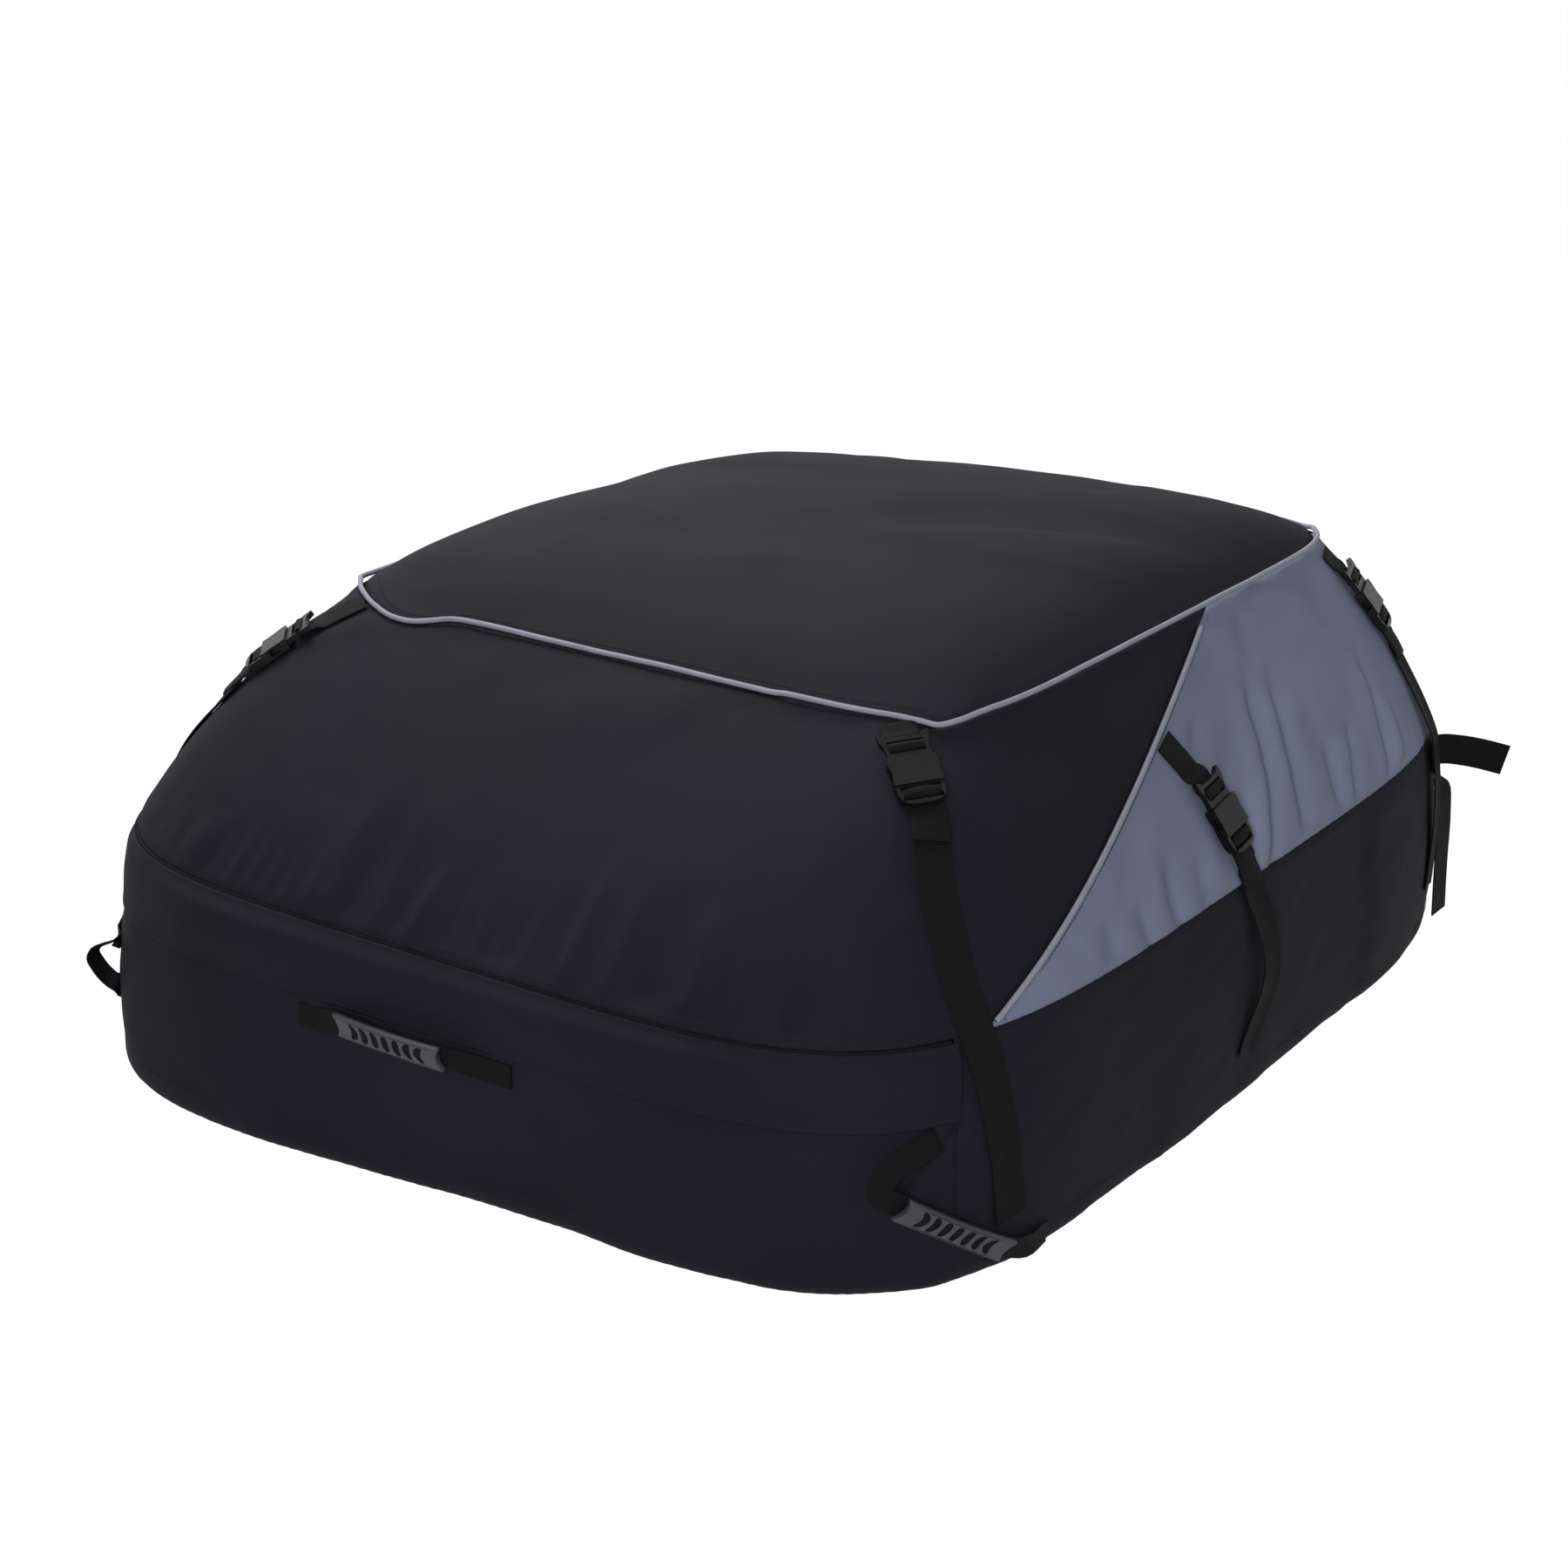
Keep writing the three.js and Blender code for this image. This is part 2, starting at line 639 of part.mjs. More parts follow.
const socketStart = plugLength + 0.5;
const socketEnd = socketStart + socketLength;
const farSlot = [socketStart + 27.3, socketStart + 31.5];
const nearSlot = [socketStart + 35.8, socketStart + 40.5];
const ladderStart = farSlot[0] - 1.5;
const barBase = 4.5;
const ladderTop = 9;
const socketGeometry = (() => {
  const shape = new THREE.Shape();
  shape.moveTo(-19.4, socketStart);
  shape.lineTo(19.4, socketStart);
  shape.lineTo(20.3, socketStart + 5);
  shape.lineTo(18.6, socketStart + 14);
  shape.lineTo(19.8, socketStart + 24);
  shape.lineTo(19, socketStart + 34);
  shape.quadraticCurveTo(17.5, socketEnd - 1.2, 8, socketEnd - 0.4);
  shape.quadraticCurveTo(0, socketEnd + 0.4, -8, socketEnd - 0.4);
  shape.quadraticCurveTo(-17.5, socketEnd - 1.2, -19, socketStart + 34);
  shape.lineTo(-19.8, socketStart + 24);
  shape.lineTo(-18.6, socketStart + 14);
  shape.lineTo(-20.3, socketStart + 5);
  shape.closePath();
  let socket = toManifold(plateFrom(shape, socketBase, socketHeight, 3));
  const roomLow = socketBase + socketWall;
  const roomHigh = plugBase + plugThickness + fitClearance;
  const halfRoom = 15.4 + 0.5;
  const cuts = [
    boxBetween(-halfRoom, halfRoom, socketStart - 1, socketStart + 24, roomLow, roomHigh),
    boxBetween(12, 22, socketStart + 8, socketStart + 18, roomLow, roomHigh),
    boxBetween(-22, -12, socketStart + 8, socketStart + 18, roomLow, roomHigh),
    boxBetween(-halfSlotWidth, halfSlotWidth, farSlot[0], farSlot[1], 0, 12),
    boxBetween(-halfSlotWidth, halfSlotWidth, nearSlot[0], nearSlot[1], 0, 12),
    boxBetween(-halfSlotWidth, halfSlotWidth, farSlot[0], socketEnd + 2, 0, barBase),
    boxBetween(-22, 22, ladderStart, socketEnd + 2, ladderTop, 12),
  ];
  for (const cut of cuts) {
    socket = socket.subtract(toManifold(cut));
  }
  return fromManifold(socket);
})();

// Middle line of the webbing through the buckle, as distance down the strap and height
const plugLoop = [
  [-6, 1.5], [2.4, 1.9], [5, 3.2], [5.9, 6], [6.7, 8.8], [8.6, 9.9], [10.8, 9.9],
  [12.7, 8.8], [13.5, 6], [13.1, 3.4], [11.4, 2.2], [9, 2],
];
const lockLoop = [
  [socketEnd + 8, 1.5], [socketEnd, 1.55], [farSlot[1] + 1.5, 1.6], [farSlot[0] + 2.7, 2.4],
  [farSlot[0] + 1.7, 4.6], [farSlot[0] + 1.8, 7.8], [farSlot[0] + 3.2, 9.9], [farSlot[1] + 2, 10.4],
  [nearSlot[0] + 0.6, 9.9], [nearSlot[0] + 2.1, 7.8], [nearSlot[0] + 2.6, 5.6], [nearSlot[0] + 4.2, 3.7],
  [socketEnd + 4, 3.4],
];

// Straps: each follows the skin from its upper seam to its foot on the tub
const strapRoutes = {
  front_right: {
    spots: [[0.925, 1.985], [0.95, 1.869], [1.002, 1.649], [1.013, 1.531], [1.04, 1.349],
      [1.064, 1.177], [1.094, 0.98], [1.119, 0.602], [1.132, 0.24]],
    tab: 26,
    lift: 0,
    slack: 0,
    press: 0.1,
  },
  middle_right: {
    spots: [[1.392, 1.64], [1.44, 1.395], [1.471, 1.076], [1.489, 0.797], [1.494, 0.561], [1.475, 0.24]],
    tab: 52,
    lift: 1.6,
    slack: 9,
    press: 0.3,
  },
  rear_right: {
    spots: [[1.915, 1.96], [1.912, 1.785], [1.905, 1.566], [1.898, 1.368], [1.886, 1.101], [1.874, 0.85], [1.864, 0.3]],
    tab: 30,
    lift: 0,
    slack: 5,
    press: 0.95,
  },
};

// The left straps mirror the right ones, moved back by `shift` and leaning back on the way down
function mirrored(spots, shift, lean) {
  return spots.map(([u, v]) => {
    const back = shift + THREE.MathUtils.clamp(0.12 * (1.45 - v), 0, lean);
    return [(5 - u - back) % 4, v];
  });
}

for (const [name, tab, shift, lean] of [
  ['front', 55, 0, 0.045], ['middle', 52, leftInsertShift, 0], ['rear', 30, 0, 0],
]) {
  const right = strapRoutes[`${name}_right`];
  strapRoutes[`${name}_left`] = { ...right, spots: mirrored(right.spots, shift, lean), tab };
}

function routeOnSkin({ spots }) {
  const start = spots[0][0];
  const unwrapped = spots.map(([u, v]) => {
    const near = u - start > 2 ? u - 4 : u;
    return new THREE.Vector3(start - near > 2 ? near + 4 : near, v, 0);
  });
  const curve = new THREE.CatmullRomCurve3(unwrapped, false, 'centripetal');
  const samples = evenly(0, 1, 400).map((t) => {
    const spot = curve.getPoint(t);
    return { u: spot.x, v: spot.y, at: skinPoint(spot.x, spot.y) };
  });
  let distance = 0;
  samples.forEach((sample, i) => {
    if (i > 0) distance += sample.at.distanceTo(samples[i - 1].at);
    sample.distance = distance;
  });
  return { samples, length: distance };
}

function atDistance(route, distance) {
  const found = route.samples.find((sample) => sample.distance >= distance);
  return found ?? route.samples.at(-1);
}

function buckleFrame(route, { tab, lift }) {
  const head = atDistance(route, tab);
  const foot = atDistance(route, tab + socketEnd);
  const normal = skinNormal(head.u, head.v).add(skinNormal(foot.u, foot.v)).normalize();
  const down = foot.at.clone().sub(head.at).normalize();
  const across = new THREE.Vector3().crossVectors(down, normal).normalize();
  const out = new THREE.Vector3().crossVectors(across, down).normalize();
  const origin = head.at.clone().addScaledVector(out, buckleLift + lift);
  return new THREE.Matrix4().makeBasis(across, down, out).setPosition(origin);
}

for (const [name, strap] of Object.entries(strapRoutes)) {
  const route = routeOnSkin(strap);
  const frame = buckleFrame(route, strap);
  const across = new THREE.Vector3().setFromMatrixColumn(frame, 0);
  const inBuckle = ([y, z]) => ({ at: new THREE.Vector3(0, y, z).applyMatrix4(frame), across });
  const onSkin = (distance, height) => {
    const spot = atDistance(route, distance);
    const ahead = atDistance(route, distance + 8);
    const behind = atDistance(route, distance - 8);
    const normal = skinNormal(spot.u, spot.v);
    const along = ahead.at.clone().sub(behind.at);
    return {
      at: spot.at.clone().addScaledVector(normal, height),
      across: new THREE.Vector3().crossVectors(along, normal).normalize(),
    };
  };
  const upper = evenly(4, strap.tab - 12, strap.tab > 40 ? 3 : 1).map((distance) => onSkin(distance, webbingLift + 0.8));
  upper.push(...plugLoop.map(inBuckle));
  addMesh(bag, `strap_upper_${name}`, strapSolid(upper, webbingWidth - 1, webbingThickness), webbingBlack);

  const buckle = new THREE.Group();
  buckle.applyMatrix4(frame);
  bag.add(buckle);
  addMesh(buckle, `buckle_plug_${name}`, plugGeometry, plasticBlack);
  addMesh(buckle, `buckle_socket_${name}`, socketGeometry, plasticBlack);

  const buckleFoot = strap.tab + socketEnd;
  const lowerStart = buckleFoot + 22;
  const crease = route.samples.find((sample) => sample.v <= 1).distance;
  const upperLegs = crease > lowerStart + 20 ? evenly(lowerStart, crease, 3).slice(0, -1) : [lowerStart];
  const lowerLegs = evenly(Math.max(crease, lowerStart + 12), route.length, 6);
  const lowerStations = [...upperLegs, ...lowerLegs].map((distance) => {
    const progress = (distance - lowerStart) / (route.length - lowerStart);
    const hang = strap.slack * Math.sin(Math.PI * progress) ** 2;
    return onSkin(distance, webbingLift + 1 - progress + hang - strap.press * progress ** 6);
  });
  const tail = [
    onSkin(buckleFoot + 16, webbingLift + 4.6),
    onSkin(buckleFoot + tailLength, webbingLift + 4.2),
  ];
  const lower = [...lowerStations.reverse(), ...lockLoop.map(inBuckle), ...tail];
  addMesh(bag, `strap_lower_${name}`, strapSolid(lower, webbingWidth, webbingThickness), webbingBlack);
}

// Handle grip: a moulded rubber pad with notched ends and seven cut-outs, bowed along its length
const gripGeometry = (() => {
  const half = gripLength / 2;
  const high = gripWidth / 2;
  const shape = new THREE.Shape();
  const notch = 9;
  shape.moveTo(-half, -high);
  const edge = (x) => high - gripWaist * (1 - (x / half) ** 2);
  for (const x of evenly(-half, half, 8).slice(1)) {
    shape.lineTo(x, -edge(x));
  }
  shape.quadraticCurveTo(half - notch, 0, half, high);
  for (const x of evenly(half, -half, 8).slice(1)) {
    shape.lineTo(x, edge(x));
  }
  shape.quadraticCurveTo(-half + notch, 0, -half, -high);
  const pitch = 11.5;
  const slotHalf = 1.6;
  for (let i = -3; i <= 3; i += 1) {
    const bend = Math.abs(i) < 2 ? 0 : -Math.sign(i) * 4;
    const belly = bend === 0 ? 0.8 : 0;
    const slotHigh = 6.2 + 0.17 * Math.abs(i);
    const x = i * pitch;
    const slot = new THREE.Path();
    slot.moveTo(x - slotHalf, -slotHigh);
    slot.lineTo(x + slotHalf, -slotHigh);
    slot.quadraticCurveTo(x + slotHalf + 2 * bend + belly, 0, x + slotHalf, slotHigh);
    slot.lineTo(x - slotHalf, slotHigh);
    slot.quadraticCurveTo(x - slotHalf + 2 * bend - belly, 0, x - slotHalf, -slotHigh);
    shape.holes.push(slot);
  }
  const geometry = plateFrom(shape, 0, gripThickness, 2);
  const position = geometry.attributes.position;
  for (let i = 0; i < position.count; i += 1) {
    const x = position.getX(i);
    position.setZ(i, position.getZ(i) - gripBow * (x / half) ** 2);
  }
  geometry.computeVertexNormals();
  return geometry;
})();

// Handle: webbing between two feet on the tub, with the grip on its outside
function addHandle(name, grip, before, after) {
  const { centre, along, down } = grip;
  const x = along.clone().normalize();
  const z = new THREE.Vector3().crossVectors(down, x).normalize();
  const y = new THREE.Vector3().crossVectors(z, x);
  const frame = new THREE.Matrix4().makeBasis(x, y, z).setPosition(centre);
  const pad = addMesh(bag, `${name}_grip`, gripGeometry, rubberGrey);
  pad.applyMatrix4(frame);
  const backing = evenly(-gripLength / 2 + 2, gripLength / 2 - 2, 2).map((s) => {
    const sag = gripBow * (s / (gripLength / 2)) ** 2;
    const local = new THREE.Vector3(s, 0, -sag - gripSeat - webbingThickness / 2);
    return { at: local.applyMatrix4(frame), across: y };
  });
  const stations = [...before, ...backing, ...after];
  addMesh(bag, `${name}_webbing`, strapSolid(stations, handleWebbingWidth, webbingThickness), webbingBlack);
}

// Station on the skin: the webbing's width is turned to lie along the skin there
function skinStation([u, v, height], across) {
  const normal = skinNormal(u, v);
  const hint = new THREE.Vector3(...across);
  return {
    at: offSkin(u, v, height),
    across: hint.addScaledVector(normal, -hint.dot(normal)).normalize(),
  };
}

function stations(list) {
  return list.map(([spot, across]) => skinStation(spot, across));
}

const up = [0, 0, 1];
addHandle(
  'front_handle',
  {
    centre: offSkin(0.48, 0.655, 15),
    along: new THREE.Vector3(0.997, -0.05, 0.025),
    down: new THREE.Vector3(0.03, 0.24, -0.97),
  },
  stations([[[0.365, 0.625, 1.5], up], [[0.39, 0.625, 1.7], up]]),
  stations([[[0.575, 0.63, 1.7], up], [[0.6, 0.63, 1.5], up]]),
);

addHandle(
  'corner_handle_right',
  {
    centre: offSkin(1.061, 0.29, 6.5),
    along: new THREE.Vector3(0.32, 0.773, -0.548),
    down: new THREE.Vector3(-0.56, -0.31, -0.77),
  },
  stations([
    [[1.044, 0.65, 1.8], [0.75, 0.35, -0.55]],
    [[1.014, 0.62, 7.6], [0.8, 0.2, -0.55]],
    [[0.986, 0.587, 12.6], [0.95, 0.05, -0.3]],
    [[0.973, 0.544, 17.1], [0.95, -0.1, 0.25]],
    [[0.971, 0.506, 19.7], [0.75, -0.1, 0.65]],
  ]),
  stations([[[1.15, 0.1, 7], up], [[1.178, 0.1, 2.2], up]]),
);

// The left handle's webbing stands out past the corner in a slack loop before its upper foot.
// Each row gives how far out and up it lies and which way it runs; loopTurn is how far its
// width is turned out of the line of sight along the front.
const loopRoot = skinPoint(0.043, 0.44);
const loopOut = new THREE.Vector3(-0.82, -0.573, 0);
const loopDepth = new THREE.Vector3(-0.573, 0.82, 0);
const loopTurn = 0.7;
const loopStations = [
  [5.5, -20, 25], [11, -15.5, 38], [17, -8.5, 50], [21.5, 0, 70],
  [22.5, 8, 97], [19.5, 14.5, 130], [12, 18.5, 155], [3.5, 21.5, 165],
].map(([out, high, run]) => {
  const angle = THREE.MathUtils.degToRad(run);
  const sideways = loopOut.clone().multiplyScalar(-Math.sin(angle)).add(new THREE.Vector3(0, 0, Math.cos(angle)));
  return {
    at: loopRoot.clone().addScaledVector(loopOut, out).add(new THREE.Vector3(0, 0, high)),
    across: sideways.multiplyScalar(Math.sin(loopTurn)).addScaledVector(loopDepth, Math.cos(loopTurn)),
  };
});
addHandle(
  'corner_handle_left',
  {
    centre: offSkin(-0.215, 0.17, 7),
    along: new THREE.Vector3(0.02, -1, 0),
    down: new THREE.Vector3(0, 0, -1),
  },
  stations([[[-0.37, 0.17, 1.8], up], [[-0.345, 0.17, 2.2], up]]),
  [
    ...stations([[[-0.11, 0.17, 4.5], up], [[-0.075, 0.18, 4], up], [[-0.045, 0.21, 4], up],
      [[-0.015, 0.25, 4], up], [[0.01, 0.29, 4.5], up]]),
    ...loopStations,
    ...stations([[[0.01, 0.53, 4], [0, 0, -1]], [[-0.015, 0.53, 3.4], [0, 0, -1]],
      [[-0.04, 0.53, 3], [0, 0, -1]]]),
  ],
);

// Two loose webbing ends at the rear right corner: one stands out to the side, one hangs down
const endRoot = skinPoint(1.925, 0.89);
const endOut = new THREE.Vector3(0.82, 0.573, 0);
const sideEnd = [[10, -0.5], [28, -2], [48, -6], [70, -12]].map(([out, drop]) => ({
  at: endRoot.clone().addScaledVector(endOut, out).add(new THREE.Vector3(0, 0, drop)),
  across: new THREE.Vector3(...up),
}));
const sideEndStations = [...stations([[[1.885, 0.89, 1.5], up], [[1.912, 0.89, 1.6], up]]), ...sideEnd];
addMesh(bag, 'strap_end_rear_right', strapSolid(sideEndStations, webbingWidth, webbingThickness), webbingBlack);

const tailRoot = skinPoint(1.925, 0.78);
const tailAcross = [0, 1, 0];
const hangingTail = [[9, -14], [13, -40], [13.5, -95], [14.5, -142]].map(([out, drop]) => ({
  at: tailRoot.clone().add(new THREE.Vector3(out, 0, drop)),
  across: new THREE.Vector3(...tailAcross),
}));
const tailStations = [...stations([[[1.925, 0.8, 1.5], tailAcross], [[1.925, 0.76, 1.7], tailAcross]]), ...hangingTail];
addMesh(bag, 'strap_tail_rear_right', strapSolid(tailStations, webbingWidth, webbingThickness), webbingBlack);

export default bag;
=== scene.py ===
# Soft roof cargo bag: cloth panels, piping, webbing, buckles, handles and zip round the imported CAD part.
# Lengths in the dictionaries are millimetres; meshes are made in metres.
import math
import bpy
import numpy as np
from mathutils import Matrix, Vector, kdtree


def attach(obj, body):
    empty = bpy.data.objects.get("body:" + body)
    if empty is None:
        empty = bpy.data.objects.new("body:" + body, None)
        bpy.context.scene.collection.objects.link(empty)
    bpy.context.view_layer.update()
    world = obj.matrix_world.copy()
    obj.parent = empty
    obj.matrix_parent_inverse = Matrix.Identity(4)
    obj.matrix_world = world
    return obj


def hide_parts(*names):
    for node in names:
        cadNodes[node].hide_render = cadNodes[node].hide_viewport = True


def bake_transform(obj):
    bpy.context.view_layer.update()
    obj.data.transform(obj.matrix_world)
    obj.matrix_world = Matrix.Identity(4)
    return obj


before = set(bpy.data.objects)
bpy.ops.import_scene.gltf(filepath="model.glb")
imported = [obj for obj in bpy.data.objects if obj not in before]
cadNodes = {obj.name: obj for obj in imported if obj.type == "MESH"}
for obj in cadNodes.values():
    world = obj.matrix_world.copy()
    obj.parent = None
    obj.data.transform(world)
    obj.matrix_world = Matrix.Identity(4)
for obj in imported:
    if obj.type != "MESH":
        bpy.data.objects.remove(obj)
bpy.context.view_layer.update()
mm = 0.001
bothSides = ("right", "left")


# Shader maths: a Wire is one output of a node, and sums and products of wires add Math nodes
class Wire:
    def __init__(self, finish, socket):
        self.finish = finish
        self.socket = socket

    # Another output of the same node
    def other(self, output):
        return Wire(self.finish, self.socket.node.outputs[output])

    def combine(self, operation, first, second):
        return self.finish.add("ShaderNodeMath", {"operation": operation}, {0: first, 1: second})

    def __add__(self, other):
        return self.combine("ADD", self, other)

    def __sub__(self, other):
        return self.combine("SUBTRACT", self, other)

    def __rsub__(self, other):
        return self.combine("SUBTRACT", other, self)

    def __mul__(self, other):
        return self.combine("MULTIPLY", self, other)

    __radd__ = __add__
    __rmul__ = __mul__


# The nodes of a new material, or of the world that is given
class Finish:
    def __init__(self, name, world=None):
        self.material = world or bpy.data.materials.new(name)
        self.material.use_nodes = True
        self.tree = self.material.node_tree
        self.shader = self.tree.nodes.get("Principled BSDF")

    # Adds a node: its settings first, then its sockets' values or links; gives one of its outputs
    def add(self, kind, settings=None, sockets=None, output=0):
        node = self.tree.nodes.new(kind)
        for key, value in (settings or {}).items():
            setattr(node, key, value)
        for key, value in (sockets or {}).items():
            self.feed(node.inputs[key], value)
        return Wire(self, node.outputs[output])

    def feed(self, socket, value):
        if isinstance(value, Wire):
            self.tree.links.new(value.socket, socket)
        else:
            socket.default_value = value

    def set(self, **sockets):
        for key, value in sockets.items():
            self.feed(self.shader.inputs[key.replace("_", " ")], value)

    # Place on the flat cloth in metres: this output runs across it, the node's next one along it
    def cutPlace(self):
        return self.add("ShaderNodeSeparateXYZ", {}, {0: self.add("ShaderNodeUVMap", {"uv_map": "cut"})})

    def bodyPlace(self):
        return self.add("ShaderNodeTexCoord", output="Object")

    # 1 for what is seen straight from the camera, or by way of metal or glass
    def seenDirectly(self):
        path = self.add("ShaderNodeLightPath", output="Is Camera Ray")
        seen = path
        for ray in ("Is Glossy Ray", "Is Transmission Ray"):
            seen = seen.combine("MAXIMUM", seen, path.other(ray))
        return seen

    def sine(self, wire):
        return self.add("ShaderNodeMath", {"operation": "SINE"}, {0: wire})

    # Between the look's dark and light colours
    def mixColor(self, factor, look):
        dark, light = screenColor(*look["dark"]), screenColor(*look["light"])
        return self.add("ShaderNodeMix", {"data_type": "RGBA"}, {0: factor, 6: dark, 7: light}, 2)

    def noise(self, place, scale, detail):
        return self.add("ShaderNodeTexNoise", {}, {"Vector": place, "Scale": scale, "Detail": detail})

    def bump(self, height, distance):
        return self.add("ShaderNodeBump", {}, {"Height": height, "Distance": distance * mm, "Strength": 1.0})


# A colour as seen on screen, turned into the linear values that shaders take
def screenColor(red, green, blue):
    linear = [((c / 255 + 0.055) / 1.055) ** 2.4 if c > 10 else c / 255 / 12.92 for c in (red, green, blue)]
    return (*linear, 1.0)


# Woven cloth: threads cross every threadPitch, and larger blotches vary the tone
weaving = {
    "blotchDetail": 3.0, "fuzzScale": 900.0, "fuzzDetail": 1.0, "blotchTone": 0.75, "fuzzTone": 0.2,
    "blotchRoughness": 0.12, "sheenRoughness": 0.45, "relief": 0.5,
}


def wovenCloth(name, look):
    cloth = Finish(name)
    across = cloth.cutPlace()
    turn = 2 * math.pi / (look["threadPitch"] * mm)
    weave = cloth.sine(across * turn) * cloth.sine(across.other(1) * turn)
    body = cloth.bodyPlace()
    blotch = cloth.noise(body, look["blotchScale"], weaving["blotchDetail"])
    fuzz = cloth.noise(body, weaving["fuzzScale"], weaving["fuzzDetail"])
    tone = blotch * weaving["blotchTone"] + weave * look["weaveTone"] + fuzz * weaving["fuzzTone"]
    cloth.set(
        Base_Color=cloth.mixColor(tone, look),
        Roughness=look["roughness"] + (blotch - 0.5) * weaving["blotchRoughness"],
        Sheen_Weight=look["sheen"], Sheen_Roughness=weaving["sheenRoughness"],
        Specular_IOR_Level=look["specular"],
        Normal=cloth.bump(weave * weaving["relief"] + fuzz * weaving["relief"], look["threadRelief"]),
    )
    return cloth.material


looks = {
    "black_cloth": {
        "dark": (16, 15, 21), "light": (34, 33, 41), "roughness": 0.72, "sheen": 0.0, "specular": 0.06,
        "threadPitch": 0.9, "threadRelief": 0.12, "weaveTone": 0.12, "blotchScale": 6.0,
    },
    "grey_cloth": {
        "dark": (92, 99, 119), "light": (130, 137, 161), "roughness": 0.68, "sheen": 0.03, "specular": 0.15,
        "threadPitch": 0.9, "threadRelief": 0.12, "weaveTone": 0.1, "blotchScale": 7.0,
    },
    "piping_cloth": {
        "dark": (104, 107, 118), "light": (146, 149, 160), "roughness": 0.5, "sheen": 0.04, "specular": 0.3,
        "threadPitch": 0.7, "threadRelief": 0.08, "weaveTone": 0.1, "blotchScale": 40.0,
    },
}


# Webbing: ribs across the strap, yarns along it and a little wear
webbingLook = {
    "dark": (8, 8, 9), "light": (20, 20, 21), "specular": 0.08, "roughness": 0.65,
    "ribPitch": 2.2, "yarnPitch": 1.4, "relief": 0.2, "ribRelief": 0.6, "yarnRelief": 0.4, "ribTone": 0.25,
    "wearScale": 60.0, "wearDetail": 3.0, "wearTone": 0.6, "wearRoughness": 0.2, "baseTone": 0.1,
}


def ribbedWebbing(name, look):
    web = Finish(name)
    across = web.cutPlace()
    ribs = web.sine(across.other(1) * (2 * math.pi / (look["ribPitch"] * mm)))
    yarns = web.sine(across * (2 * math.pi / (look["yarnPitch"] * mm)))
    wear = web.noise(web.bodyPlace(), look["wearScale"], look["wearDetail"])
    tone = wear * look["wearTone"] + ribs * yarns * look["ribTone"] + look["baseTone"]
    web.set(
        Base_Color=web.mixColor(tone, look),
        Roughness=look["roughness"] + wear * look["wearRoughness"], Specular_IOR_Level=look["specular"],
        Normal=web.bump(ribs * look["ribRelief"] + yarns * look["yarnRelief"], look["relief"]),
    )
    return web.material


# Moulded plastic or rubber: fine grain, duller and paler where it is rubbed
rubbing = {"grainDetail": 2.0, "scale": 45.0, "detail": 4.0, "roughness": 0.18}


def moulded(name, look):
    piece = Finish(name)
    body = piece.bodyPlace()
    grain = piece.noise(body, look["grainScale"], rubbing["grainDetail"])
    rub = piece.noise(body, rubbing["scale"], rubbing["detail"])
    piece.set(
        Base_Color=piece.mixColor(rub, look),
        Roughness=look["roughness"] + rub * rubbing["roughness"], Specular_IOR_Level=look["specular"],
        Normal=piece.bump(grain, look["relief"]),
    )
    return piece.material


mouldedLooks = {
    "buckle_plastic": {
        "dark": (8, 8, 9), "light": (17, 17, 18), "roughness": 0.27, "specular": 0.15,
        "grainScale": 1500.0, "relief": 0.05,
    },
    "grip_rubber": {
        "dark": (34, 34, 40), "light": (56, 56, 64), "roughness": 0.42, "specular": 0.4,
        "grainScale": 1200.0, "relief": 0.08,
    },
}
webbingLooks = {
    "webbing": webbingLook,
    "thread": dict(webbingLook, dark=(26, 26, 31), light=(48, 47, 55), ribPitch=0.8, relief=0.05),
    "zip_tape": dict(webbingLook, ribPitch=1.1, yarnPitch=0.9, relief=0.1),
}
materials = {}
for makeLook, family in ((wovenCloth, looks), (ribbedWebbing, webbingLooks), (moulded, mouldedLooks)):
    for name, look in family.items():
        materials[name] = makeLook(name, look)
print("materials ready")


# The bag's skin, the same surface as the CAD part: v 0 to 1 climbs the tub, 1 to 2 the slope, 2 to 3 the roof
bag = {
    "width": 920, "depth": 1060, "seamHeight": 208, "roofHeight": 388, "crown": 46, "rearSag": 26,
    "sideRun": 125, "frontRun": 240, "rearRun": 112, "frontBow": 0.065, "sideBow": 0.035,
    "wallBulge": 7, "floorRounding": 20, "flare": 50, "flareStart": 0.5,
    "seamSquare": 4.8, "floorSquare": 5.2, "floorLeftSquare": 4.8, "roofSquare": 7.4,
    "domeAcross": 7, "domeAlong": 4, "domeRim": 30, "sagStart": 0.4,
}
normalStep = 0.004
skinTop = 2.95  # no normals are taken nearer to the middle of the roof, where the skin closes


def fade(x, low, high):
    t = np.clip((np.asarray(x, float) - low) / (high - low), 0, 1)
    return t * t * (3 - 2 * t)


def squarePoint(u):
    turn = np.mod(u, 4)
    side = np.floor(turn)
    along = -1 + 2 * (turn - side)
    p = np.select([side == 0, side == 1, side == 2], [along, 1.0, -along], -1.0)
    q = np.select([side == 0, side == 1, side == 2], [-1.0, along, 1.0], -along)
    return p, q


def slopeCurve(run, rise, bow, t):
    middle = 2 * t * (1 - t)
    inward = middle * (run / 2 - 2 * bow * rise) + t * t * run
    upward = middle * (rise / 2 + 2 * bow * run) + t * t * rise
    return inward, upward


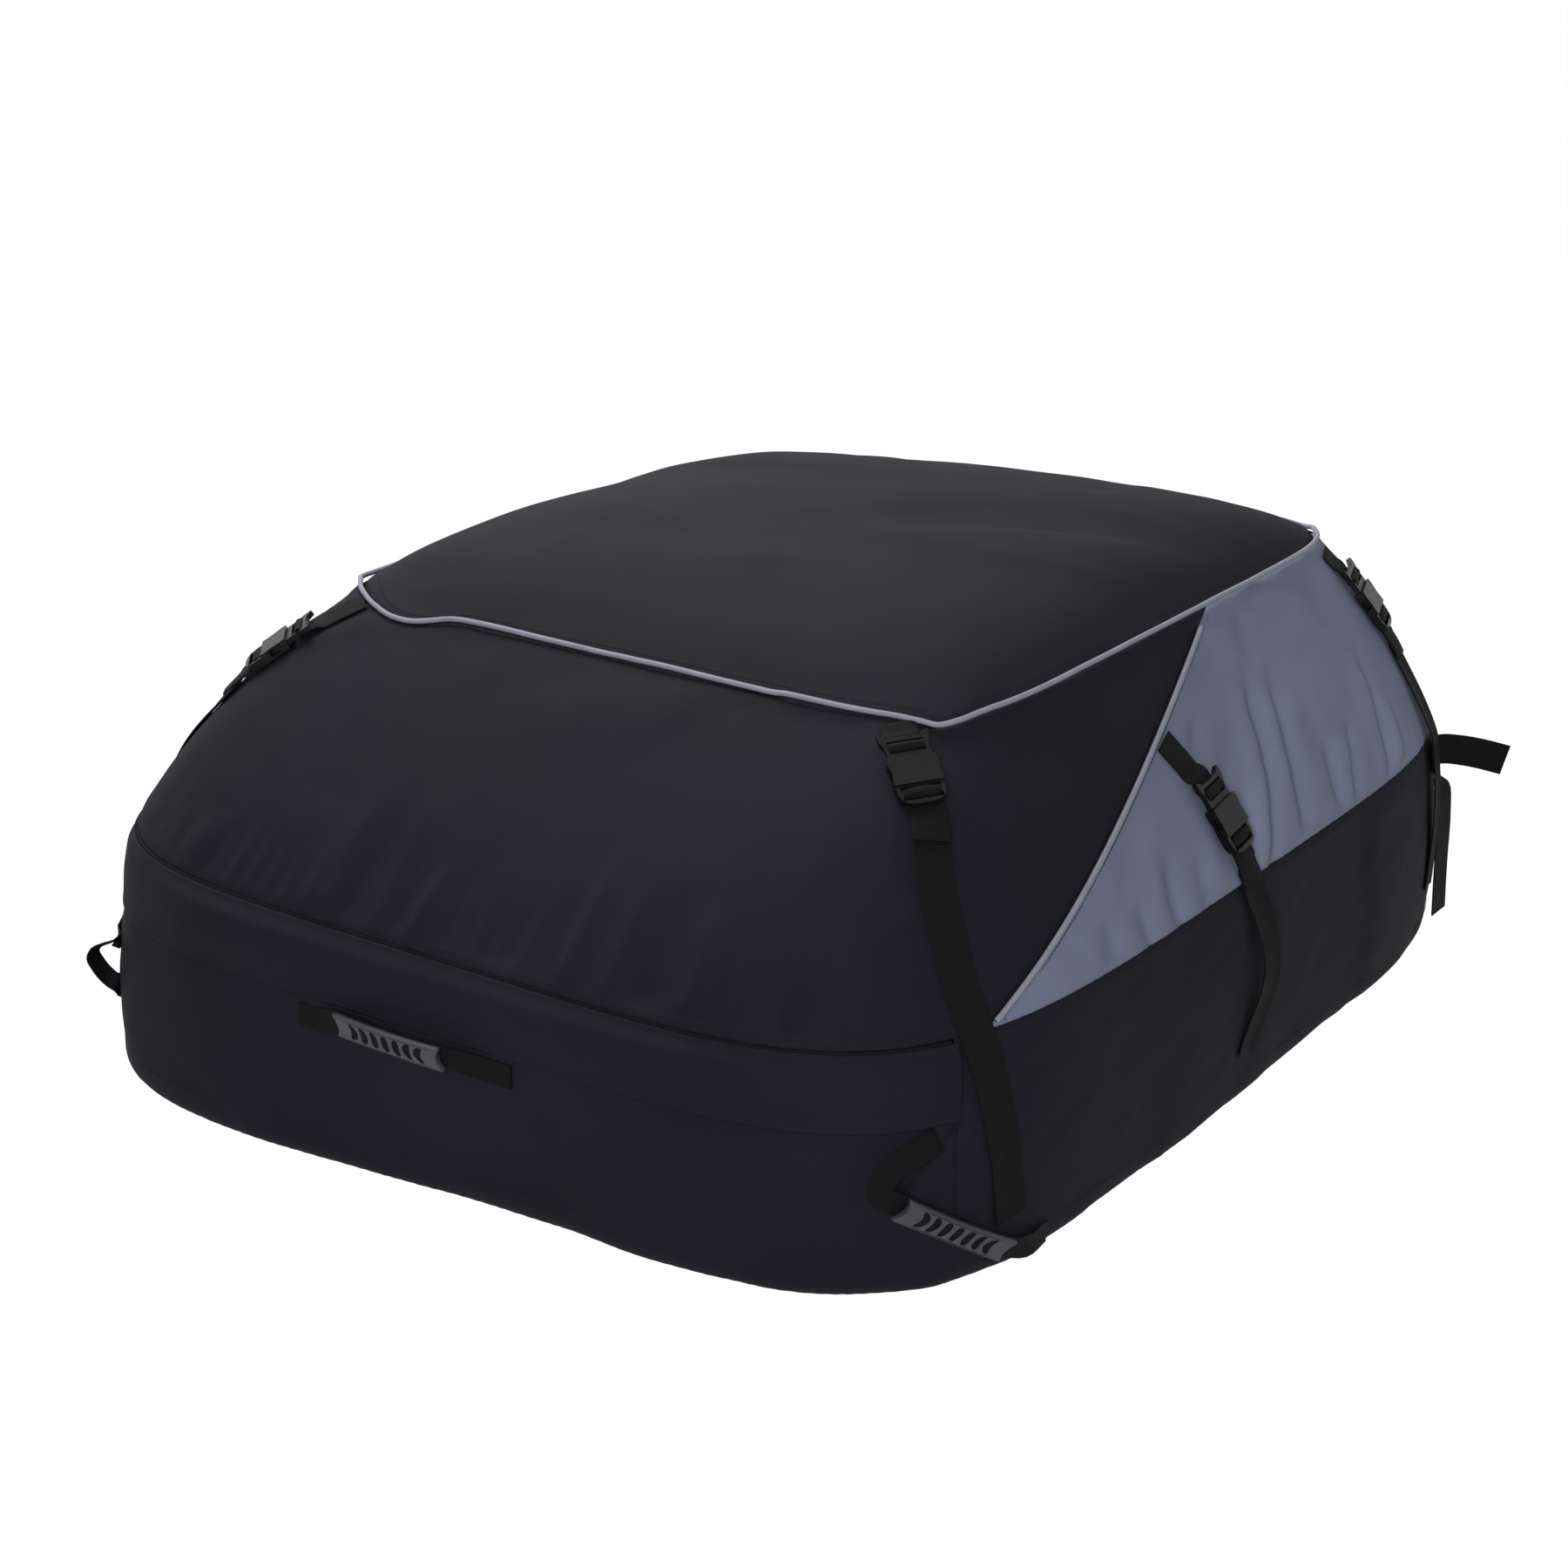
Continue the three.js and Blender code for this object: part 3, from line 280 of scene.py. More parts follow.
def skinPoint(u, v):
    u, v = np.broadcast_arrays(np.asarray(u, float), np.asarray(v, float))
    p, q = squarePoint(u)
    wall = np.clip(v, 0, 1)
    slope = np.clip(v - 1, 0, 1)
    reach = np.clip(3 - v, 0, 1)
    wallZ = bag["seamHeight"] * wall
    rounding = bag["floorRounding"]
    below = np.maximum(rounding - wallZ, 0)
    tuck = rounding - np.sqrt(rounding ** 2 - below ** 2)
    swell = bag["wallBulge"] * np.sin(np.pi * wall) - tuck
    rise = bag["roofHeight"] - bag["seamHeight"]
    frontIn, frontUp = slopeCurve(bag["frontRun"], rise, bag["frontBow"], slope)
    sideIn, sideUp = slopeCurve(bag["sideRun"], rise, bag["sideBow"], slope)
    rearIn, rearUp = slopeCurve(bag["rearRun"], rise, bag["sideBow"], slope)
    halfWidth = bag["width"] / 2 + swell - sideIn
    frontY = -(bag["depth"] / 2 + swell) + frontIn
    rearY = bag["depth"] / 2 + swell - rearIn
    low = np.where((p < 0) & (q < 0), bag["floorLeftSquare"], bag["floorSquare"])
    tubPower = low + (bag["seamSquare"] - low) * wall
    power = tubPower + (bag["roofSquare"] - tubPower) * slope
    sidePull = np.abs(p) ** power
    endPull = np.abs(q) ** power
    scale = (sidePull + endPull) ** (-1 / power) * reach
    endUp = np.where(q < 0, frontUp, rearUp)
    slopeZ = (sidePull * sideUp + endPull * endUp) / (sidePull + endPull)
    frontShare = np.where(q < 0, endPull / (sidePull + endPull), 0)
    flare = bag["flare"] * (1 - wall) * fade(-p, -bag["flareStart"], 1) * frontShare
    across, along = p * scale, q * scale
    dome = (1 - np.abs(across) ** bag["domeAcross"]) * (1 - along ** bag["domeAlong"])
    dome = dome * (1 - reach ** bag["domeRim"])
    sag = bag["rearSag"] * fade(-across, -bag["sagStart"], 1) * fade(along, -bag["sagStart"], 1) * slope ** 2
    x = halfWidth * across
    y = (frontY + rearY) / 2 + (rearY - frontY) / 2 * along - flare
    z = wallZ + slopeZ + bag["crown"] * dome - sag
    return np.stack([x, y, z], axis=-1)


def unit(vectors):
    return vectors / np.linalg.norm(vectors, axis=-1, keepdims=True)


# Outward normals, taken only from between the given levels so that a seam keeps its crease
def skinNormal(u, v, low=0.0, high=skinTop):
    step = normalStep
    alongU = skinPoint(u + step, v) - skinPoint(u - step, v)
    alongV = skinPoint(u, np.clip(v + step, low, high)) - skinPoint(u, np.clip(v - step, low, high))
    return unit(np.cross(alongU, alongV))


def offSkin(u, v, height, low=0.0, high=skinTop):
    return skinPoint(u, v) + skinNormal(u, v, low, high) * np.asarray(height)[..., None]


def addObject(name, data):
    piece = bpy.data.objects.new(name, data)
    bpy.context.scene.collection.objects.link(piece)
    return piece


# Points and the flat cloth's places are in mm
def makeObject(name, points, faces, material, uv):
    mesh = bpy.data.meshes.new(name)
    mesh.from_pydata((np.asarray(points).reshape(-1, 3) * mm).tolist(), [], faces)
    layer = mesh.uv_layers.new(name="cut")
    corner = np.empty(len(mesh.loops), np.int32)
    mesh.loops.foreach_get("vertex_index", corner)
    layer.data.foreach_set("uv", (np.asarray(uv).reshape(-1, 2)[corner] * mm).ravel())
    mesh.polygons.foreach_set("use_smooth", [True] * len(mesh.polygons))
    mesh.materials.append(materials[material])
    mesh.validate()
    return addObject(name, mesh)


def place(piece, body, slot, *nodes):
    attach(piece, body)
    if nodes:
        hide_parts(*nodes)
    return piece


# Faces of a closed shell between an outer and an inner grid of points
def shellFaces(rows, columns, wrapped):
    index = np.arange(2 * rows * columns).reshape(2, rows, columns)
    if wrapped:
        index = np.concatenate([index, index[:, :, :1]], axis=2)
    outer, inner = index
    quads = [
        np.stack([outer[:-1, :-1], outer[:-1, 1:], outer[1:, 1:], outer[1:, :-1]], -1).reshape(-1, 4),
        np.stack([inner[:-1, :-1], inner[1:, :-1], inner[1:, 1:], inner[:-1, 1:]], -1).reshape(-1, 4),
        np.stack([inner[0, :-1], inner[0, 1:], outer[0, 1:], outer[0, :-1]], -1),
        np.stack([outer[-1, :-1], outer[-1, 1:], inner[-1, 1:], inner[-1, :-1]], -1),
    ]
    if not wrapped:
        quads.append(np.stack([inner[:-1, 0], outer[:-1, 0], outer[1:, 0], inner[1:, 0]], -1))
        quads.append(np.stack([outer[:-1, -1], inner[:-1, -1], inner[1:, -1], outer[1:, -1]], -1))
    return np.concatenate(quads).tolist()


# One closed piece of cloth between an outer and an inner grid, with its places on the flat cloth
def closedShell(name, outer, inner, uv, slotName, node, wrapped=False):
    faces = shellFaces(*outer.shape[:2], wrapped)
    piece = makeObject(name, np.stack([outer, inner]), faces, slotName, np.stack([uv, uv]))
    return place(piece, "bag", slotName, node)


# Distance run along a grid or a line of points
def lengths(points, axis=0):
    steps = np.linalg.norm(np.diff(points, axis=axis), axis=-1)
    start = np.zeros_like(np.take(steps, [0], axis=axis))
    return np.cumsum(np.concatenate([start, steps], axis=axis), axis=axis)


# Strap webbing: its section, its heights above the skin, and where its parts start and end along the strap
webbing = {
    "width": 30, "thickness": 1.5, "narrower": 1, "lift": 1.6, "rest": 0.6, "settle": 8, "drop": 1.0,
    "curl": 1.3, "tabCurl": 0.3, "tabStart": 4, "tabEnd": 12, "longTab": 40, "footGap": 15, "stations": 26,
    "tail": [(16, 5.9), (30, 5.5)],
}
# Straps follow the skin through these (u, v) places, with the buckle `tab` below the upper seam
straps = {
    "front_right": {
        "spots": [(0.925, 1.985), (0.95, 1.869), (1.002, 1.649), (1.013, 1.531), (1.04, 1.349),
                  (1.064, 1.177), (1.094, 0.98), (1.119, 0.602), (1.132, 0.24)],
        "tab": 26, "lift": 0, "slack": 0
    },
    "middle_right": {
        "spots": [(1.392, 1.64), (1.44, 1.395), (1.471, 1.076), (1.489, 0.797), (1.494, 0.561),
                  (1.475, 0.24)],
        "tab": 52, "lift": 1.6, "slack": 9
    },
    "rear_right": {
        "spots": [(1.915, 1.96), (1.912, 1.785), (1.905, 1.566), (1.898, 1.368), (1.886, 1.101),
                  (1.874, 0.85), (1.864, 0.3)],
        "tab": 30, "lift": 0, "slack": 5
    },
}
# The left straps mirror the right ones, moved back by a shift and leaning back on the way down
leftStraps = {"front": (55, 0, 0.045), "middle": (52, 0.05, 0), "rear": (30, 0, 0)}
leaning = {"rate": 0.12, "below": 1.45}
for rank, (tab, shift, mostLean) in leftStraps.items():
    right = straps[f"{rank}_right"]
    spots = []
    for u, v in right["spots"]:
        lean = min(max(leaning["rate"] * (leaning["below"] - v), 0), mostLean)
        spots.append(((5 - u - shift - lean) % 4, v))
    straps[f"{rank}_left"] = dict(right, spots=spots, tab=tab)

buckle = {
    "lift": 1.5, "plugLength": 21, "socketLength": 44.5, "gap": 0.5,
    "farSlot": (27.3, 31.5), "nearSlot": (35.8, 40.5),
}
socketStart = buckle["plugLength"] + buckle["gap"]
socketEnd = socketStart + buckle["socketLength"]
farSlot = [socketStart + edge for edge in buckle["farSlot"]]
nearSlot = [socketStart + edge for edge in buckle["nearSlot"]]

# Middle line of the webbing in the buckle: distance down the strap and height
plugLoop = [
    (-6, 1.5), (2.4, 1.9), (5, 3.2), (5.9, 6), (6.7, 8.8), (8.6, 9.9), (10.8, 9.9),
    (12.7, 8.8), (13.5, 6), (13.1, 3.4), (11.4, 2.2), (9, 2),
]
lockLoop = [
    (socketEnd + 8, 1.5), (socketEnd, 1.55), (farSlot[1] + 1.5, 1.6), (farSlot[0] + 2.7, 2.4),
    (farSlot[0] + 1.7, 4.6), (farSlot[0] + 1.8, 7.8), (farSlot[0] + 3.2, 9.9), (farSlot[1] + 2, 10.4),
    (nearSlot[0] + 0.6, 9.9), (nearSlot[0] + 2.1, 7.8), (nearSlot[0] + 2.6, 5.6), (nearSlot[0] + 4.2, 3.7),
    (socketEnd + 4, 3.4),
]


# Smooth curve through points with equal spacing in parameter, as rows of any number of values
def throughPoints(points, perSpan):
    points = np.asarray(points, float)
    padded = np.vstack([2 * points[0] - points[1], points, 2 * points[-1] - points[-2]])
    rows = []
    for i in range(1, len(padded) - 2):
        p0, p1, p2, p3 = padded[i - 1:i + 3]
        d0, d1, d2 = [max(np.linalg.norm(b - a), 1e-6) ** 0.5 for a, b in ((p0, p1), (p1, p2), (p2, p3))]
        out = ((p1 - p0) / d0 - (p2 - p0) / (d0 + d1) + (p2 - p1) / d1) * d1
        into = ((p2 - p1) / d1 - (p3 - p1) / (d1 + d2) + (p3 - p2) / d2) * d1
        for t in np.arange(perSpan) / perSpan:
            rows.append(p1 + out * t + (3 * (p2 - p1) - 2 * out - into) * t ** 2
                        + (2 * (p1 - p2) + out + into) * t ** 3)
    rows.append(points[-1])
    return np.array(rows)


def routeOnSkin(spots):
    start = spots[0][0]
    near = [(u - 4 if u - start > 2 else (u + 4 if start - u > 2 else u), v) for u, v in spots]
    uv = throughPoints(near, 50)
    at = skinPoint(uv[:, 0], uv[:, 1])
    return {"uv": uv, "at": at, "distance": lengths(at)}


def alongRoute(route, distance):
    u = np.interp(distance, route["distance"], route["uv"][:, 0])
    v = np.interp(distance, route["distance"], route["uv"][:, 1])
    return float(u), float(v)


def buckleFrame(route, strap):
    head = alongRoute(route, strap["tab"])
    foot = alongRoute(route, strap["tab"] + socketEnd)
    normal = unit(skinNormal(*head) + skinNormal(*foot))
    down = unit(skinPoint(*foot) - skinPoint(*head))
    across = unit(np.cross(down, normal))
    out = unit(np.cross(across, down))
    origin = skinPoint(*head) + out * (buckle["lift"] + strap["lift"])
    return {"origin": origin, "across": across, "down": down, "out": out}


# A station is a place of the webbing's middle and the direction across it
def onRoute(route, distance, height):
    u, v = alongRoute(route, distance)
    ahead = skinPoint(*alongRoute(route, distance + 8))
    behind = skinPoint(*alongRoute(route, distance - 8))
    normal = skinNormal(u, v)
    return skinPoint(u, v) + normal * height, unit(np.cross(ahead - behind, normal))


def inBuckle(hold, spot):
    y, z = spot
    return hold["origin"] + hold["down"] * y + hold["out"] * z, hold["across"]


def strapStations(name):
    strap = straps[name]
    route = routeOnSkin(strap["spots"])
    hold = buckleFrame(route, strap)
    tab = strap["tab"]
    places = np.linspace(webbing["tabStart"], tab - webbing["tabEnd"], 4 if tab > webbing["longTab"] else 2)
    upper = [onRoute(route, distance, webbing["lift"]) for distance in places]
    upper += [inBuckle(hold, spot) for spot in plugLoop]
    foot = tab + socketEnd
    total = route["distance"][-1]
    start = foot + webbing["footGap"]
    lower = []
    for distance in np.linspace(start, total, webbing["stations"]):
        progress = (distance - start) / (total - start)
        hang = strap["slack"] * math.sin(math.pi * progress) ** 2
        height = webbing["rest"] + webbing["drop"] * math.exp(-(distance - start) / webbing["settle"]) + hang
        lower.append(onRoute(route, distance, height))
    tail = [onRoute(route, foot + further, height) for further, height in webbing["tail"]]
    lower = lower[::-1] + [inBuckle(hold, spot) for spot in lockLoop] + tail
    return {"route": route, "hold": hold, "upper": upper, "lower": lower}


strapLayouts = {name: strapStations(name) for name in straps}


# Half of the webbing's section: place across it and share of its thickness
webbingSection = [
    (-1, 0.25), (-0.985, 0.8), (-0.94, 1), (-0.7, 0.9), (-0.35, 1), (0, 1), (0.35, 1), (0.7, 0.9), (0.94, 1),
    (0.985, 0.8), (1, 0.25),
]


# Faces of a swept tube, closed at both ends; `way` is -1 where its rings turn the other way round
def tubeFaces(stations, sides, way=1):
    index = np.arange(stations * sides).reshape(stations, sides)
    turned = np.roll(index, -1, axis=1)
    corners = [index[:-1], index[1:], turned[1:], turned[:-1]]
    if way < 0:
        corners = [corners[k] for k in (0, 3, 2, 1)]
    quads = np.stack(corners, -1).reshape(-1, 4).tolist()
    return quads + [index[0][::way].tolist(), index[-1][::-way].tolist()]


# Sweeps webbing with rounded edges through stations; its edges curl down by `curl`
def sweepWebbing(name, stations, width, curl, thickness=webbing["thickness"]):
    rows = throughPoints([np.concatenate(station) for station in stations], 4)
    keep = [0]
    for i in range(1, len(rows)):
        if np.linalg.norm(rows[i, :3] - rows[keep[-1], :3]) > 1.0 or i == len(rows) - 1:
            keep.append(i)
    rows = rows[keep]
    middle = rows[:, :3]
    along = unit(np.gradient(middle, axis=0))
    across = rows[:, 3:]
    across = unit(across - along * np.sum(across * along, axis=1, keepdims=True))
    face = np.cross(across, along)
    section = np.array(webbingSection + [(place, -thick) for place, thick in webbingSection[::-1]])
    offset = section[:, 0] * (width / 2)
    layer = section[:, 1] * thickness / 2 - curl * section[:, 0] ** 2
    points = middle[:, None] + across[:, None] * offset[None, :, None] + face[:, None] * layer[None, :, None]
    uv = np.stack(np.broadcast_arrays(offset[None, :], lengths(middle)[:, None]), axis=-1)
    return makeObject(name, points, tubeFaces(len(rows), len(section)), "webbing", uv)


def layStraps():
    for name, layout in strapLayouts.items():
        narrow = webbing["width"] - webbing["narrower"]
        upper = sweepWebbing(f"webbing_upper_{name}", layout["upper"], narrow, webbing["tabCurl"])
        start = Vector(layout["upper"][0][0] * mm)
        end = Vector(inBuckle(layout["hold"], (2, 2))[0] * mm)
        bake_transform(upper)
        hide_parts(f"strap_upper_{name}")
        lower = sweepWebbing(f"webbing_lower_{name}", layout["lower"], webbing["width"], webbing["curl"])
        place(lower, "bag", "webbing", f"strap_lower_{name}")


# Where straps lie on the cloth, for pressing the folds flat beneath them
pressSpots = np.concatenate([layout["route"]["at"] for layout in strapLayouts.values()])
pressTree = kdtree.KDTree(len(pressSpots))
for index, spot in enumerate(pressSpots):
    pressTree.insert(spot, index)
pressTree.balance()


def pressedShare(points):
    flat = points.reshape(-1, 3)
    away = np.array([pressTree.find(spot)[2] for spot in flat]).reshape(points.shape[:-1])
    return 1 - fade(away, *cloth["pressReach"])


# Soft waves of cloth: a few sines in seeded directions, bent by one another
waving = {"sines": 6, "sizes": (0.7, 1.5), "bend": 0.7}


def waves(points, pitch, seed):
    rng = np.random.default_rng(seed)
    total = np.zeros(points.shape[:-1])
    bend = np.zeros(points.shape[:-1])
    for i in range(waving["sines"]):
        direction = unit(rng.normal(size=3))
        phase = rng.uniform(0, 2 * np.pi)
        size = pitch * rng.uniform(*waving["sizes"])
        value = np.sin(2 * np.pi * (points @ direction) / size + phase + bend)
        bend = bend + waving["bend"] * value
        total += value
    return total / waving["sines"] ** 0.5


cloth = {
    "thickness": 2.4, "gather": 7.0, "insertFold": 1.6, "slack": 1.6, "slackPitch": 260, "slackSeed": 3,
    "crumple": 0.5, "crumplePitch": 62, "crumpleSeed": 8, "calmEdge": 25, "seamDip": 1.3, "seamReach": 3.2,
    "pucker": 0.45, "puckerPitch": 13, "puckerReach": 12, "puckerDrift": 1.5, "driftPitch": 90, "driftSeed": 5,
    "pressDepth": 0.25, "pressReach": (15, 34),
}


# Gathers of the lid's front fade in above the seam and out up the slope, each at a height of its own
gathers = {
    "reach": 0.36, "reachWaves": ((0.13, 19, 0.6), (0.07, 47, 2)), "leastReach": 0.2,
    "foot": (0, 0.07), "fadeFrom": 0.1, "left": (0.06, 0.26), "right": (0.86, 1.0),
    "even": 0.62, "uneven": 0.38, "lean": 0.03, "sharpness": 0.6,
    "perSide": 15.5, "coarsePerSide": 6.3, "smallPerSide": 37, "smallEnd": (0.05, 0.3),
    "foldShare": 0.55, "coarseShare": 0.3, "smallShare": 0.12,
}


def gatherHeight(u, v):
    climb = v - 1
    reach = gathers["reach"]
    for size, rate, start in gathers["reachWaves"]:
        reach = reach + size * np.sin(rate * u + start)
    end = 1 - fade(climb, gathers["fadeFrom"], np.maximum(reach, gathers["leastReach"]))
    across = fade(u, *gathers["left"]) * (1 - fade(u, *gathers["right"]))
    strength = gathers["even"] + gathers["uneven"] * np.sin(13 * u + 1.1) * np.sin(31 * u)
    lean = u + gathers["lean"] * climb * np.sin(7 * u)
    drift = 0.42 * np.sin(11 * lean) + 0.16 * np.sin(29 * lean)
    fold = np.sin(2 * np.pi * (gathers["perSide"] * lean + drift))
    fold = 1 - 2 * np.abs((1 - fold) / 2) ** gathers["sharpness"]
    coarse = np.sin(2 * np.pi * gathers["coarsePerSide"] * lean + 1.1)
    small = np.sin(2 * np.pi * (gathers["smallPerSide"] * u + 0.3 * np.sin(23 * u)))
    small = small * (1 - fade(climb, *gathers["smallEnd"]))
    height = gathers["foldShare"] * strength * fold + gathers["coarseShare"] * coarse
    height = height + gathers["smallShare"] * small
    return cloth["gather"] * fade(climb, *gathers["foot"]) * end * across * height


# Each crease of the insert: u and climb at its foot and at its head, its width in mm and its depth
creases = [
    (1.522, 0.0, 1.59, 0.74, 8, 9.0), (1.583, 0.04, 1.624, 0.68, 8, 9.0), (1.746, 0.02, 1.817, 0.58, 8, 8.0),
    (1.787, 0.04, 1.822, 0.3, 7, 4.5), (1.606, 0.7, 1.634, 0.97, 11, 3.0), (1.436, 0.42, 1.458, 0.68, 9, 3.5),
    (1.652, 0.02, 1.664, 0.32, 8, 5.0), (1.682, 0.02, 1.714, 0.36, 8, 5.5), (1.488, 0.0, 1.503, 0.38, 8, 4.5),
    (1.372, 0.0, 1.358, 0.29, 9, 4.5), (1.32, 0.0, 1.31, 0.16, 8, 3.5), (1.268, 0.02, 1.25, 0.2, 8, 2.5),
    (1.41, 0.0, 1.404, 0.2, 8, 2.5), (1.85, 0.0, 1.856, 0.2, 7, 2.5),
]
creaseShape = {
    "ridge": 0.6, "farRidge": 0.35, "ridgeAway": 2.5, "ridgeWidth": 1.8, "perUnit": 1000,
    "start": (-0.05, 0.12), "end": (0.6, 1), "wander": 0.003, "widening": 0.5,
}
slowFold = {"foot": (0, 0.1), "end": (0.15, 0.75), "front": (1.3, 1.42), "rear": (1.78, 1.87), "perSide": 8.5}


def insertFoldHeight(u, v):
    side = np.where(u > 2.5, 5 - u, u)
    climb = v - 1
    height = np.zeros_like(climb)
    away, broad = creaseShape["ridgeAway"], creaseShape["ridgeWidth"]
    for uFoot, foot, uHead, head, width, depth in creases:
        share = (climb - foot) / (head - foot)
        line = uFoot + (uHead - uFoot) * share + creaseShape["wander"] * np.sin(11 * climb + 40 * uFoot)
        off = (side - line) * creaseShape["perUnit"] / (width * (1 + creaseShape["widening"] * climb))
        shape = creaseShape["ridge"] * np.exp(-((off + away) / broad) ** 2) - np.exp(-off ** 2)
        shape = shape + creaseShape["farRidge"] * np.exp(-((off - away) / broad) ** 2)
        height += depth * shape * fade(share, *creaseShape["start"]) * (1 - fade(share, *creaseShape["end"]))
    rising = fade(climb, *slowFold["foot"]) * (1 - fade(climb, *slowFold["end"]))
    across = fade(side, *slowFold["front"]) * (1 - fade(side, *slowFold["rear"]))
    slow = np.sin(2 * np.pi * (slowFold["perSide"] * side + 0.3 * np.sin(9 * side)))
    return height + cloth["insertFold"] * rising * across * slow


# A soft crease runs down the tub beside the corner handle
cornerCrease = {"head": (1.088, 0.735), "foot": (0.985, 0.34), "width": 11, "depth": 4.5, "perUnit": 1000}


def tubFoldHeight(u, v):
    (uHead, head), (uFoot, foot) = cornerCrease["head"], cornerCrease["foot"]
    share = (v - foot) / (head - foot)
    line = uFoot + (uHead - uFoot) * share
    off = (u - line) * cornerCrease["perUnit"] / cornerCrease["width"]
    return -cornerCrease["depth"] * np.exp(-off ** 2) * fade(share, 0, 0.3) * (1 - fade(share, 0.8, 1))


def noFold(u, v):
    return np.zeros_like(u)


# A panel of the skin between levels low and high, with its own fold, soft waves and puckered seams
def panel(name, u, v, low, high, fold, slotName, node, edges="lrud", wrapped=False):
    base = skinPoint(u, v)
    normal = skinNormal(u, v, low, high)
    alongU = lengths(base, 1)
    alongV = lengths(base, 0)
    edgeDistances = {
        "l": alongU, "r": alongU[:, -1:] - alongU, "d": alongV, "u": alongV[-1:] - alongV,
    }
    nearest = np.min([edgeDistances[edge] for edge in edges], axis=0)
    along = alongU + alongV
    calm = fade(nearest, 0, cloth["calmEdge"])
    height = fold(u, v)
    height = height + cloth["slack"] * calm * waves(base, cloth["slackPitch"], cloth["slackSeed"])
    height = height + cloth["crumple"] * calm * waves(base, cloth["crumplePitch"], cloth["crumpleSeed"])
    drift = cloth["puckerDrift"] * waves(base, cloth["driftPitch"], cloth["driftSeed"])
    puckers = np.sin(2 * np.pi * along / cloth["puckerPitch"] + drift)
    height = height + cloth["pucker"] * puckers * np.exp(-nearest / cloth["puckerReach"])
    pressed = pressedShare(base)
    height = height * (1 - pressed) - cloth["pressDepth"] * pressed
    height = height - cloth["seamDip"] * np.exp(-(nearest / cloth["seamReach"]) ** 2)
    outer = base + normal * height[..., None]
    inner = base + normal * (height - cloth["thickness"])[..., None]
    uv = np.stack([alongU - alongU.mean(axis=1, keepdims=True), alongV], axis=-1)
    closedShell(name, outer, inner, uv, slotName, node, wrapped)


insert = {
    "seamStart": 1.105, "roofEnd": 1.58, "curve": 0.055, "rearEnd": 2.15, "rearLean": 0.02, "leftShift": 0.05,
}


def insertFront(v):
    climb = v - 1
    start, end = insert["seamStart"], insert["roofEnd"] - insert["curve"]
    return start + (end - start) * climb + insert["curve"] * climb ** 4


def insertFrontLeft(v):
    return 5 - insertFront(v) - insert["leftShift"]


def insertRear(v):
    return insert["rearEnd"] + insert["rearLean"] * (v - 1)


# How far the seam round the top dips below v = 2: it sags at the front left, turns down at the front
# right corner, and lies lower along the rear and the left
seamDips = [
    (-0.12, 0.05), (-0.025, 0.006), (0.0, 0.005), (0.051, 0.01), (0.107, 0.029), (0.157, 0.048),
    (0.191, 0.047), (0.218, 0.028), (0.245, 0.005), (0.3, 0.0), (0.88, 0.0), (0.926, 0.003),
    (0.962, 0.016), (0.995, 0.033), (1.03, 0.023), (1.07, 0.005), (1.13, 0.0), (1.985, 0.0),
    (2.035, 0.025), (2.08, 0.05), (3.88, 0.05), (3.975, 0.006), (4.05, 0.01),
]
deepestDip = 0.05
seamTable = throughPoints(seamDips, 24)


def seamTop(u):
    return 2 - np.clip(np.interp(np.mod(u, 4), seamTable[:, 0], seamTable[:, 1]), 0, deepestDip)


# Grid over the lid's slope between two edges given as functions of v
slopeMesh = {"bottom": 1.0016, "topGap": 0.001, "sideGap": 0.0012, "closer": 1.15}


def slopeGrid(leftEdge, rightEdge, columns, rows):
    climb = np.linspace(0, 1, rows) ** slopeMesh["closer"]
    share = np.linspace(0, 1, columns)[None, :]
    top = np.full((rows, columns), 2 - slopeMesh["topGap"])
    for attempt in range(2):  # the second time along the seam itself
        v = slopeMesh["bottom"] + (top - slopeMesh["bottom"]) * climb[:, None]
        u = (leftEdge(v) + slopeMesh["sideGap"]) * (1 - share) + (rightEdge(v) - slopeMesh["sideGap"]) * share
        top = np.repeat(seamTop(u[-1:]) - slopeMesh["topGap"], rows, axis=0)
    return u, v


def makePanels():
    u, v = slopeGrid(lambda v: insertFrontLeft(v) - 4, insertFront, 300, 80)
    panel("lid_front_cloth", u, v, 1, 2, gatherHeight, "black_cloth", "lid_front_panel")
    u, v = slopeGrid(insertFront, insertRear, 330, 64)
    panel("side_insert_cloth_right", u, v, 1, 2, insertFoldHeight, "grey_cloth", "side_insert_right")
    u, v = slopeGrid(lambda v: 5 - insertRear(v), insertFrontLeft, 330, 64)
    panel("side_insert_cloth_left", u, v, 1, 2, insertFoldHeight, "grey_cloth", "side_insert_left")
    u, v = slopeGrid(insertRear, lambda v: 5 - insertRear(v), 150, 56)
    panel("lid_rear_cloth", u, v, 1, 2, noFold, "black_cloth", "lid_rear_panel")
    makeTub()
    makeRoof()


tub = {
    "zipReach": 0.066, "zipBottom": 0.8, "topGap": 0.0015, "columns": 760, "rows": 52,
    "floorColumns": 360, "floorRings": 26, "floorShare": 0.9985, "floorThickness": 3, "floorRise": 0.4,
    "floorWave": 0.35, "floorPitch": 90, "floorSeed": 12,
}


